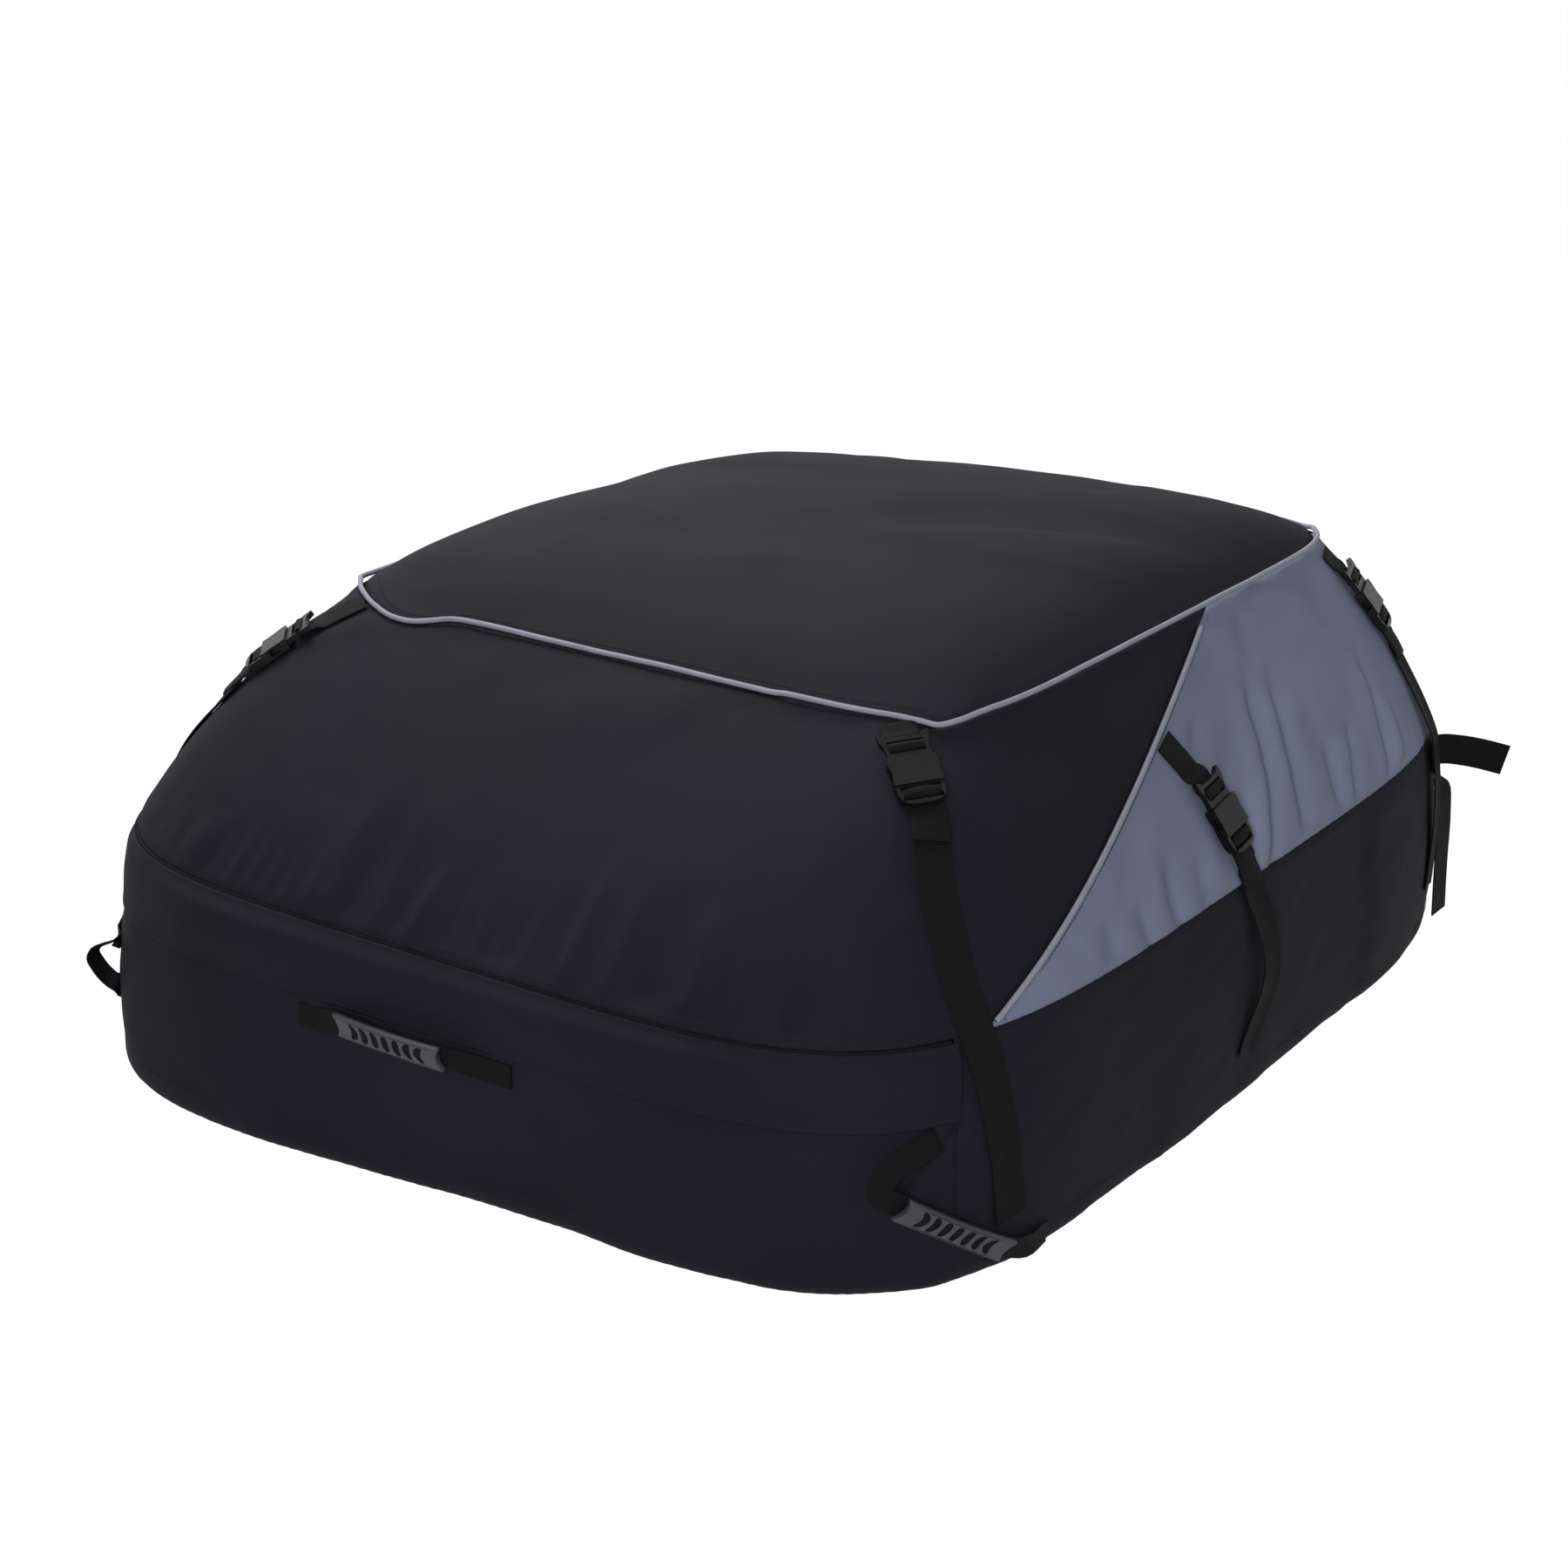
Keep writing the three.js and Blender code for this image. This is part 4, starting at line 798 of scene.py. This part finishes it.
def makeTub():
    u = np.arange(tub["columns"]) * 4 / tub["columns"]
    zipped = (u < 1 + tub["zipReach"]) | (u > 4 - tub["zipReach"])
    top = np.where(zipped, tub["zipBottom"], 1) - tub["topGap"]
    climb = np.linspace(0, 1, tub["rows"])[:, None]
    v = climb * top[None, :]
    u = np.repeat(u[None, :], tub["rows"], axis=0)
    panel("tub_cloth", u, v, 0, 1, tubFoldHeight, "black_cloth", "tub_wall", edges="ud", wrapped=True)
    u = np.linspace(0, 4, tub["floorColumns"] + 1)[:-1]
    rings = np.concatenate([[0.001], np.linspace(0.04, 1, tub["floorRings"])])[:, None]
    edge = skinPoint(u, 0)[None, :, :2] * tub["floorShare"]
    flat = edge * rings[..., None]
    wave = tub["floorWave"] * waves(np.dstack([flat, 0 * flat[..., :1]]), tub["floorPitch"], tub["floorSeed"])
    rise = wave * (1 - rings ** 4) + tub["floorRise"]
    bottom = np.dstack([flat, np.maximum(rise, 0)])
    upper = np.dstack([flat, tub["floorThickness"] + 0 * rise])
    closedShell("floor_cloth", upper, bottom, flat, "black_cloth", "floor_panel", wrapped=True)


roof = {
    "count": 170, "dipFrom": 0.86, "inset": 0.0045, "insetFrom": 0.6, "half": 340, "slack": 1.2,
    "slackPitch": 300, "slackEdge": 60, "crumplePitch": 80, "seamReach": 4,
}


def makeRoof():
    line = np.linspace(-1, 1, roof["count"])
    s, t = np.meshgrid(line, line)
    reach = np.maximum(np.maximum(np.abs(s), np.abs(t)), 1e-6)
    p, q = s / reach, t / reach
    along = np.where(q <= -1, (p + 1) / 2, np.where(p >= 1, 1 + (q + 1) / 2,
                     np.where(q >= 1, 2 + (1 - p) / 2, 3 + (1 - q) / 2)))
    v = 3 - reach - (2 - seamTop(along)) * fade(reach, roof["dipFrom"], 1)
    base = skinPoint(along, v)
    base[..., :2] *= (1 - roof["inset"] * fade(reach, roof["insetFrom"], 1))[..., None]
    normal = unit(np.cross(np.gradient(base, axis=1), np.gradient(base, axis=0)))
    nearest = (1 - reach) * roof["half"]
    slack = cloth["slack"] * roof["slack"] * fade(nearest, 0, roof["slackEdge"])
    height = slack * waves(base, roof["slackPitch"], cloth["slackSeed"])
    crumple = cloth["crumple"] * fade(nearest, 0, cloth["calmEdge"])
    height = height + crumple * waves(base, roof["crumplePitch"], cloth["crumpleSeed"])
    height = height - cloth["seamDip"] * np.exp(-(nearest / roof["seamReach"]) ** 2)
    outer = base + normal * height[..., None]
    inner = outer - normal * cloth["thickness"]
    closedShell("roof_cloth", outer, inner, base[..., :2], "black_cloth", "roof_panel")


makePanels()
print("panels ready")


# Piping: a covered cord with a slight wander
piping = {
    "radius": 2.3, "clearance": 0.7, "sides": 12, "wander": 0.9, "wanderPitch": 70, "wanderSeed": 21,
    "roofRun": (2.504, 6.496, 700), "insertRun": (1.02, 1.93, 200),
}


def pipingCord(name, middle, normal, node):
    along = unit(np.gradient(middle, axis=0))
    out = unit(normal - along * np.sum(normal * along, axis=1, keepdims=True))
    side = np.cross(along, out)
    angles = np.arange(piping["sides"]) * 2 * np.pi / piping["sides"]
    ring = out[:, None] * np.cos(angles)[None, :, None] + side[:, None] * np.sin(angles)[None, :, None]
    points = middle[:, None] + ring * piping["radius"]
    uv = np.stack(np.broadcast_arrays(angles[None, :] * piping["radius"], lengths(middle)[:, None]), axis=-1)
    piece = makeObject(name, points, tubeFaces(len(middle), len(angles), -1), "piping_cloth", uv)
    place(piece, "bag", "piping_cloth", node)


def makePiping():
    height = piping["radius"] + piping["clearance"]
    u = np.linspace(*piping["roofRun"])
    middle = offSkin(u, seamTop(u), height)
    wander = piping["wander"] * waves(middle, piping["wanderPitch"], piping["wanderSeed"])
    middle = middle + wander[:, None] * skinNormal(u, 1.9)
    pipingCord("roof_piping_cord", middle, skinNormal(u, 2.0), "roof_piping")
    v = np.linspace(*piping["insertRun"])
    for side, edge in (("right", insertFront), ("left", insertFrontLeft)):
        middle = offSkin(edge(v), v, height)
        pipingCord(f"insert_piping_cord_{side}", middle, skinNormal(edge(v), v), f"insert_piping_{side}")


makePiping()
layStraps()
print("piping and straps ready")


# Rigid pieces keep the CAD shape and get soft edges, given in mm
softening = {"buckle": 0.5, "slider": 0.3, "segments": 2, "angle": 35, "weld": 0.01}


def shapedMesh(piece):
    bpy.context.view_layer.update()
    return bpy.data.meshes.new_from_object(piece.evaluated_get(bpy.context.evaluated_depsgraph_get()))


def softEdges(node, body, width):
    mesh = cadNodes[node].data.copy()
    mesh.name = f"{node}_soft"
    piece = addObject(f"{node}_shaped", mesh)
    mesh.materials.clear()
    mesh.materials.append(materials["buckle_plastic"])
    weld = piece.modifiers.new("weld", "WELD")
    weld.merge_threshold = softening["weld"] * mm
    edges = piece.modifiers.new("edges", "BEVEL")
    edges.width = width * mm
    edges.segments = softening["segments"]
    edges.limit_method = "ANGLE"
    edges.angle_limit = math.radians(softening["angle"])
    edges.harden_normals = False
    done = shapedMesh(piece)
    piece.modifiers.clear()
    piece.data = done
    done.polygons.foreach_set("use_smooth", [True] * len(done.polygons))
    normals = piece.modifiers.new("normals", "WEIGHTED_NORMAL")
    normals.keep_sharp = True
    place(piece, body, "buckle_plastic", node)


def makeHardware():
    for name in straps:
        softEdges(f"buckle_plug_{name}", f"plug_{name}", softening["buckle"])
        softEdges(f"buckle_socket_{name}", "bag", softening["buckle"])
    for side in bothSides:
        softEdges(f"zip_slider_{side}", f"slider_{side}", softening["slider"])


makeHardware()
print("buckles ready")

# Zip, its flap and the pulls
zipper = {
    "reach": 0.064, "bottom": 0.803, "middle": 0.9, "top": 0.997, "tape": 1.5,
    "coilWidth": 6, "coilHeight": 1.8, "coilEdge": 0.7, "toothPitch": 2.6, "toothDepth": 0.25,
    "flapReach": 0.07, "flapTop": 0.985, "flapBottom": 0.7, "flapThickness": 1.7, "flapHem": 0.004,
    "standOff": 9.8, "closeOff": 4.2, "seamOff": 0.4, "edgeOff": 1.6, "run": 0.26, "runEnd": 0.12,
    "flapRise": (-0.004, 0.055), "tuckFrom": 0.868, "tuckRun": 0.165, "hemShare": 0.5, "hemReach": 1.2,
    "loose": ((0.45, 150, 31), (0.25, 45, 33)), "looseFrom": 0.9, "looseRun": 0.1,
    "pullWidth": 6, "pullThickness": 1,
}


# Skin point moved level out from the wall
def levelOut(u, v, amount):
    normal = skinNormal(u, v)
    level = normal * np.array([1, 1, 0])
    return skinPoint(u, v) + unit(level) * np.asarray(amount)[..., None]


# Grid along the front, as far past both corners as `reach`
def frontGrid(reach, bottom, top, columns, rows):
    return np.meshgrid(np.linspace(-reach, 1 + reach, columns), np.linspace(bottom, top, rows))


def frontShell(name, outer, inner, slotName, node):
    uv = np.stack([lengths(outer, 1), lengths(outer, 0)], axis=-1)
    closedShell(name, outer, inner, uv, slotName, node)


# The flap stands off only where the sliders run, and lies closer towards its ends
def flapHeight(u, v):
    running = 1 - fade(np.abs(u - 0.5), zipper["run"], zipper["run"] + zipper["runEnd"])
    standOff = zipper["closeOff"] + (zipper["standOff"] - zipper["closeOff"]) * running
    rise = fade(zipper["flapTop"] - v, *zipper["flapRise"])
    height = zipper["seamOff"] + (standOff - zipper["seamOff"]) * rise
    return height - (standOff - zipper["edgeOff"]) * fade(zipper["tuckFrom"] - v, 0, zipper["tuckRun"])


def makeZip():
    u, v = frontGrid(zipper["reach"], zipper["bottom"], zipper["top"], 900, 22)
    away = np.abs(v - zipper["middle"]) * bag["seamHeight"]
    coilHalf = zipper["coilWidth"] / 2
    ridge = 1 - fade(away, coilHalf - zipper["coilEdge"], coilHalf)
    along = lengths(skinPoint(u, v), 1)
    turn = 2 * np.pi * along / zipper["toothPitch"] + np.where(v > zipper["middle"], 0, np.pi)
    teeth = 1 - zipper["toothDepth"] + zipper["toothDepth"] * np.sin(turn)
    outer = levelOut(u, v, zipper["coilHeight"] * ridge * teeth)
    frontShell("zip_tape_woven", outer, levelOut(u, v, -zipper["tape"] + 0 * v), "zip_tape", "zip_tape")
    u, v = frontGrid(zipper["flapReach"], zipper["flapBottom"], zipper["flapTop"] + zipper["flapHem"], 420, 34)
    base = skinPoint(u, v)
    loose = sum(size * waves(base, pitch, seed) for size, pitch, seed in zipper["loose"])
    height = flapHeight(u, v) + loose * fade(zipper["looseFrom"] - v, 0, zipper["looseRun"])
    fromHem = (v - zipper["flapBottom"]) * bag["seamHeight"] / zipper["hemReach"]
    rounding = 1 - zipper["hemShare"] * np.exp(-fromHem ** 2)
    outer = levelOut(u, v, height + zipper["flapThickness"] * rounding)
    frontShell("zip_flap_cloth", outer, levelOut(u, v, height), "black_cloth", "zip_flap")
    for side in bothSides:
        low, high = (Vector(corner) / mm for corner in cadBox(f"zip_pull_{side}"))
        x, y = ((low + high) / 2).xy
        ends = [(np.array([x, y, z]), np.array([1.0, 0, 0])) for z in np.linspace(high.z, low.z, 5)]
        pull = sweepWebbing(f"zip_pull_tape_{side}", ends, zipper["pullWidth"], 0, zipper["pullThickness"])
        place(pull, f"slider_{side}", "webbing", f"zip_pull_{side}")


def cadBox(node):
    corners = np.array([cadNodes[node].matrix_world @ vertex.co for vertex in cadNodes[node].data.vertices])
    return corners.min(axis=0), corners.max(axis=0)


# Handles: webbing from foot to foot behind the moulded grip
grip = {
    "length": 118, "width": 21.5, "thickness": 5, "bow": 2, "waist": 0.7, "notch": 4.5, "roll": 0.9,
    "crown": 0.5, "crownReach": 11, "pitch": 12.3, "slotHalf": 3.8, "slotHigh": 7.2, "slotGrowth": 0.12,
    # After the slot bend come the height, width and end inset of the dark sheet that paints shade in the slots
    "slotWaist": 0.45, "bend": 4.6, "bendPower": 1.3, "slotShadeHeight": 3.5, "slotShadeWidth": 17, "slotShadeEnd": 8,
    "webbing": 20, "webbingHeight": -1.55, "webbingEnd": 2, "webbingCurl": 0.15,
}
upward = (0, 0, 1)


def onSkin(u, v, height, across):
    normal = skinNormal(u, v)
    hint = np.array(across, float)
    return offSkin(u, v, height), unit(hint - normal * (hint @ normal))


handles = {
    "front_handle": {
        "centre": (0.48, 0.655, 15), "along": (0.997, -0.05, 0.025), "down": (0.03, 0.24, -0.97),
        "before": [(0.365, 0.625, 1.5, upward), (0.39, 0.625, 1.7, upward)],
        "after": [(0.575, 0.63, 1.7, upward), (0.6, 0.63, 1.5, upward)],
    },
    "corner_handle_right": {
        "centre": (1.061, 0.29, 6.5), "along": (0.32, 0.773, -0.548), "down": (-0.56, -0.31, -0.77),
        "before": [
            (1.044, 0.65, 1.8, (0.75, 0.35, -0.55)), (1.014, 0.62, 7.6, (0.8, 0.2, -0.55)),
            (0.986, 0.587, 12.6, (0.95, 0.05, -0.3)), (0.973, 0.544, 17.1, (0.95, -0.1, 0.25)),
            (0.971, 0.506, 19.7, (0.75, -0.1, 0.65)),
        ],
        "after": [(1.15, 0.1, 7, upward), (1.178, 0.1, 2.2, upward)],
    },
    "corner_handle_left": {
        "centre": (-0.215, 0.17, 7), "along": (0.02, -1, 0), "down": (0, 0, -1),
        "before": [(-0.37, 0.17, 1.8, upward), (-0.345, 0.17, 2.2, upward)],
        "after": [(-0.11, 0.17, 4.5, upward), (-0.075, 0.18, 4, upward), (-0.045, 0.21, 4, upward),
                  (-0.015, 0.25, 4, upward), (0.01, 0.29, 4.5, upward)],
    },
}

# Slack loop of the left handle: how far out and up each place lies, and which way the webbing runs there
loop = {
    "root": (0.043, 0.44), "turn": 0.42, "out": (-0.77, -0.638, 0), "depth": (-0.638, 0.77, 0),
    "places": [(5.5, -20, 25), (11, -15.5, 38), (17, -8.5, 50), (22, 0, 65),
               (25, 8, 92), (22, 14.5, 135), (13, 18.5, 160), (3.5, 21.5, 168)],
    "foot": [(0.01, 0.53, 4, (0, 0, -1)), (-0.015, 0.53, 3.4, (0, 0, -1)), (-0.04, 0.53, 3, (0, 0, -1))],
}


def loopStations():
    root = skinPoint(*loop["root"])
    out, depth = np.array(loop["out"]), np.array(loop["depth"])
    rise = np.array(upward, float)
    stations = []
    for far, high, run in loop["places"]:
        angle = math.radians(run)
        sideways = out * -math.sin(angle) + rise * math.cos(angle)
        across = sideways * math.sin(loop["turn"]) + depth * math.cos(loop["turn"])
        stations.append((root + out * far + rise * high, across))
    return stations + [onSkin(*spot) for spot in loop["foot"]]


# Middle of a grip's underside, and its directions: along it, across it and out
def gripFrame(handle):
    x = unit(np.array(handle["along"], float))
    z = unit(np.cross(handle["down"], x))
    return offSkin(*handle["centre"]), x, np.cross(z, x), z


def gripBow(along):
    return grip["bow"] * (along / (grip["length"] / 2)) ** 2


# Webbing that runs straight along a grip, `height` above the grip's underside
def gripStations(handle, height, inset):
    centre, x, y, z = gripFrame(handle)
    half = grip["length"] / 2
    return [(centre + x * along + z * (height - gripBow(along)), y)
            for along in np.linspace(inset - half, half - inset, 9)]


# Outline points of the crescent slot at place -3 to 3 along the grip; the outer ones bend more
def slotOutline(place):
    bend = -math.copysign(grip["bend"] * (abs(place) / 3) ** grip["bendPower"], place)
    high = grip["slotHigh"] + grip["slotGrowth"] * abs(place)
    middle = place * grip["pitch"] - bend / 2
    points = []
    for half, rise in ((grip["slotHalf"], 1), (-grip["slotHalf"], -1)):
        for t in rise * np.linspace(-1, 1, 9):
            points.append((middle + half * (1 - grip["slotWaist"] * t ** 4) + bend * (1 - t * t), high * t))
    return points


def gripOutline():
    half, high = grip["length"] / 2, grip["width"] / 2
    line = np.linspace(-half, half, 33)
    edge = high - grip["waist"] * (1 - (line / half) ** 2)
    notch = np.linspace(-1, 1, 11)[1:-1]
    lower = list(zip(line, -edge))
    right = [(half - grip["notch"] * (1 - t * t), high * t) for t in notch]
    upper = list(zip(line[::-1], edge[::-1]))
    left = [(-half + grip["notch"] * (1 - t * t), -high * t) for t in notch]
    return lower + right + upper + left


# Moulded grip: a filled outline with slots and rolled edges, bowed along its length
def makeGrip(name, handle):
    curve = bpy.data.curves.new(f"{name}_outline", "CURVE")
    curve.dimensions = "2D"
    curve.fill_mode = "BOTH"
    curve.bevel_depth = grip["roll"] * mm
    curve.bevel_resolution = 2
    curve.extrude = (grip["thickness"] / 2 - grip["roll"]) * mm
    curve.offset = -grip["roll"] * mm
    for outline in [gripOutline()] + [slotOutline(place) for place in range(-3, 4)]:
        spline = curve.splines.new("POLY")
        spline.points.add(len(outline) - 1)
        for point, (x, y) in zip(spline.points, outline):
            point.co = (x * mm, y * mm, 0, 1)
        spline.use_cyclic_u = True
    source = addObject(f"{name}_outline", curve)
    mesh = shapedMesh(source)
    bpy.data.objects.remove(source)
    centre, x, y, z = gripFrame(handle)
    for vertex in mesh.vertices:
        a, b, c = np.array(vertex.co) / mm
        crown = grip["crown"] * (1 - (b / grip["crownReach"]) ** 2) * (c > 0)
        height = c + grip["thickness"] / 2 - gripBow(a) + crown
        vertex.co = (centre + x * a + y * b + z * height) * mm
    mesh.materials.clear()
    mesh.materials.append(materials["grip_rubber"])
    place(addObject(f"{name}_pad", mesh), "bag", "grip_rubber", f"{name}_grip")
    # A dark webbing sheet inside the grip, under its slots, is painted shade: it makes the slots look dark
    # where shade falls in them
    slot_shade = gripStations(handle, grip["slotShadeHeight"], grip["slotShadeEnd"])
    place(sweepWebbing(f"{name}_core", slot_shade, grip["slotShadeWidth"], 0), "bag", "webbing")


def makeHandles():
    for name, handle in handles.items():
        makeGrip(name, handle)
        stations = [onSkin(*spot) for spot in handle["before"]]
        stations += gripStations(handle, grip["webbingHeight"], grip["webbingEnd"])
        stations += [onSkin(*spot) for spot in handle["after"]]
        if name == "corner_handle_left":
            stations += loopStations()
        piece = sweepWebbing(f"{name}_strap", stations, grip["webbing"], grip["webbingCurl"])
        place(piece, "bag", "webbing", f"{name}_webbing")


# Two loose webbing ends at the rear right corner: one stands out to the side, one hangs down
looseEnds = {
    "strap_end_rear_right": {
        "foot": [(1.885, 0.89, 1.5, upward), (1.912, 0.89, 1.6, upward)],
        "root": (1.925, 0.89), "out": (0.82, 0.573, 0), "across": upward,
        "places": [(10, -0.5), (28, -2), (48, -6), (70, -12)],
    },
    "strap_tail_rear_right": {
        "foot": [(1.925, 0.8, 1.5, (0, 1, 0)), (1.925, 0.76, 1.7, (0, 1, 0))],
        "root": (1.925, 0.78), "out": (1, 0, 0), "across": (0, 1, 0),
        "places": [(9, -14), (13, -40), (13.5, -95), (14.5, -142)],
    },
}


def makeLooseEnds():
    for name, end in looseEnds.items():
        root = skinPoint(*end["root"])
        out, across = np.array(end["out"], float), np.array(end["across"], float)
        stations = [onSkin(*spot) for spot in end["foot"]]
        stations += [(root + out * far + np.array([0, 0, rise]), across) for far, rise in end["places"]]
        piece = sweepWebbing(f"{name}_webbing", stations, webbing["width"], webbing["tabCurl"])
        place(piece, "bag", "webbing", name)


makeZip()
makeHandles()
makeLooseEnds()
print("zip, handles and loose ends ready")


# Stitching: short stitches sunk a little into the cloth, one mesh per row
stitch = {
    "length": 3.1, "pitch": 4.4, "radius": 0.32, "sunk": 0.12, "sides": 6,
    "rings": [(-1, 0.35, -0.9), (-0.7, 0.9, -0.1), (0, 1, 0.1), (0.7, 0.9, -0.1), (1, 0.35, -0.9)],
}


def stitchRow(name, middle, normal):
    pitch, half, radius, sides = stitch["pitch"], stitch["length"] / 2, stitch["radius"], stitch["sides"]
    distance = lengths(middle)
    places = np.arange(pitch / 2, distance[-1] - pitch / 2, pitch)

    def sample(values, where):
        return np.stack([np.interp(where, distance, values[:, k]) for k in range(3)], axis=-1)

    out = unit(sample(normal, places))
    along = unit(sample(middle, places + half) - sample(middle, places - half))
    side = np.cross(along, out)
    points = []
    for shift, size, rise in stitch["rings"]:
        centre = sample(middle, places) + along * half * shift + out * (radius * rise - stitch["sunk"])
        for k in range(sides):
            angle = 2 * math.pi * k / sides
            points.append(centre + (side * math.cos(angle) + out * math.sin(angle)) * radius * size)
    faces = []
    for start in range(0, len(places) * len(points), len(points)):
        for ring in range(start, start + len(points) - sides, sides):
            for k in range(sides):
                a, b = ring + k, ring + (k + 1) % sides
                faces.append((a, b, b + sides, a + sides))
    points = np.stack(points, axis=1)
    place(makeObject(name, points, faces, "thread", np.zeros(points.shape[:2] + (2,))), "bag", "webbing")


def stitchSeam(name, u, v, low, high, height):
    u, v = np.broadcast_arrays(u, np.asarray(v, float))
    stitchRow(f"stitches_{name}", offSkin(u, v, height, low, high), skinNormal(u, v, low, high))


# Each seam's run in u with its number of places, its level v and the height of its stitches. The roof's
# level is above its seam; the insert's run is in v, and its level is how far they lie from the edge in u.
seams = {
    "lid_front": (-0.15, 1.1, 900, 1.028, 0.1), "roof": (2.5, 6.5, 1400, 0.035, 0.3),
    "tub_top": (1.1, 3.85, 1200, 0.968, 0.2), "tub_bottom": (0, 4 - 4 / 1599, 1599, 0.135, 0.2),
    "flap": (-0.068, 1.068, 800, 0.716, 0.1), "insert": (1.01, 1.98, 300, 0.016, 0.2),
}


def makeStitching():
    low, high, count, level, height = seams["lid_front"]
    u = np.linspace(low, high, count)
    stitchSeam("lid_front", u, level, 1, 2, gatherHeight(u, level + 0 * u) + height)
    # These two lie on either side of the insert's front edge
    low, high, count, offset, height = seams["insert"]
    v = np.linspace(low, high, count)
    stitchSeam("cloth_right", insertFront(v) - offset, v, 1, 2, height)
    stitchSeam("insert_right", insertFront(v) + offset, v, 1, 2, height)
    low, high, count, above, height = seams["roof"]
    u = np.linspace(low, high, count)
    stitchSeam("roof", u, seamTop(u) + above, 1.9, skinTop, height)
    for name in ("tub_top", "tub_bottom"):
        low, high, count, level, height = seams[name]
        stitchSeam(name, np.linspace(low, high, count), level, 0, 1, height)
    low, high, count, level, height = seams["flap"]
    u = np.linspace(low, high, count)
    v = level + 0 * u
    points = levelOut(u, v, flapHeight(u, v) + zipper["flapThickness"] + height)
    stitchRow("stitches_flap", points, skinNormal(u, v))


makeStitching()
print("stitching ready")


studio = {
    "floorSize": 14.0, "floorLevel": -0.0005, "floorTone": 0.6, "floorGlow": 0.96, "glowLevel": 1.03,
    "skyLight": 0.34, "aim": (0, 0, 0.25),
    "key": {"place": (-2.1, 1.0, 3.1), "size": 2.0, "power": 130},
    "fill": {"place": (1.7, -3.1, 1.6), "size": 0.9, "power": 80},
}


def makeStage():
    size, low = studio["floorSize"], studio["floorLevel"]
    mesh = bpy.data.meshes.new("floor")
    corners = [(-size, -size, low), (size, -size, low), (size, size, low), (-size, size, low)]
    mesh.from_pydata(corners, [], [(0, 1, 2, 3)])
    paint = Finish("studio_floor")
    paint.set(Base_Color=(studio["floorTone"],) * 3 + (1,), Roughness=0.9, Specular_IOR_Level=0.0)
    glow = paint.add("ShaderNodeEmission", {}, {"Color": (1, 1, 1, 1), "Strength": studio["glowLevel"]})
    mix = paint.add("ShaderNodeMixShader", {}, {
        0: paint.seenDirectly() * studio["floorGlow"], 1: Wire(paint, paint.shader.outputs[0]), 2: glow,
    })
    paint.feed(paint.tree.nodes["Material Output"].inputs["Surface"], mix)
    mesh.materials.append(paint.material)
    addObject("studio_floor", mesh)


# White where it is seen, and a soft light elsewhere
def makeWorld():
    world = bpy.data.worlds.new("studio")
    bpy.context.scene.world = world
    sky = Finish("studio", world)
    sky.tree.nodes.clear()
    light, backdrop = [sky.add("ShaderNodeBackground", {}, {"Color": (1, 1, 1, 1), "Strength": level})
                       for level in (studio["skyLight"], 1.0)]
    mix = sky.add("ShaderNodeMixShader", {}, {0: sky.seenDirectly(), 1: light, 2: backdrop})
    output = sky.tree.nodes.new("ShaderNodeOutputWorld")
    sky.feed(output.inputs["Surface"], mix)


def makeLamp(name, lamp):
    data = bpy.data.lights.new(name, "AREA")
    data.shape = "DISK"
    data.size = lamp["size"]
    data.energy = lamp["power"]
    piece = addObject(name, data)
    piece.location = lamp["place"]
    aim = Vector(studio["aim"]) - piece.location
    piece.rotation_euler = aim.to_track_quat("-Z", "Y").to_euler()


# The camera stands where the photograph's did: position, lens and framing solved from the bag's outlines
camera = {
    "place": (1.487, -2.126, 1.171), "turn": 34.96, "tilt": 19.94, "focalPixels": 3455.43,
    "framePixels": 1800, "centrePixels": (933.12, 848.55), "sensor": 36,
}


def makeCamera():
    turn, tilt = math.radians(camera["turn"]), math.radians(camera["tilt"])
    right = Vector((math.cos(turn), math.sin(turn), 0))
    back = Vector((math.sin(turn) * math.cos(tilt), -math.cos(turn) * math.cos(tilt), math.sin(tilt)))
    up = back.cross(right)
    data = bpy.data.cameras.new("camera")
    data.sensor_width = camera["sensor"]
    data.lens = camera["focalPixels"] * camera["sensor"] / camera["framePixels"]
    middle = camera["framePixels"] / 2
    data.shift_x = (middle - camera["centrePixels"][0]) / camera["framePixels"]
    data.shift_y = (camera["centrePixels"][1] - middle) / camera["framePixels"]
    piece = addObject("camera", data)
    turned = Matrix((right, up, back)).transposed().to_4x4()
    piece.matrix_world = Matrix.Translation(camera["place"]) @ turned
    bpy.context.scene.camera = piece


makeStage()
makeWorld()
for lampName in ("key", "fill"):
    makeLamp(lampName, studio[lampName])
makeCamera()
bpy.context.scene.view_settings.view_transform = "Standard"
print("stage, lights and camera ready")
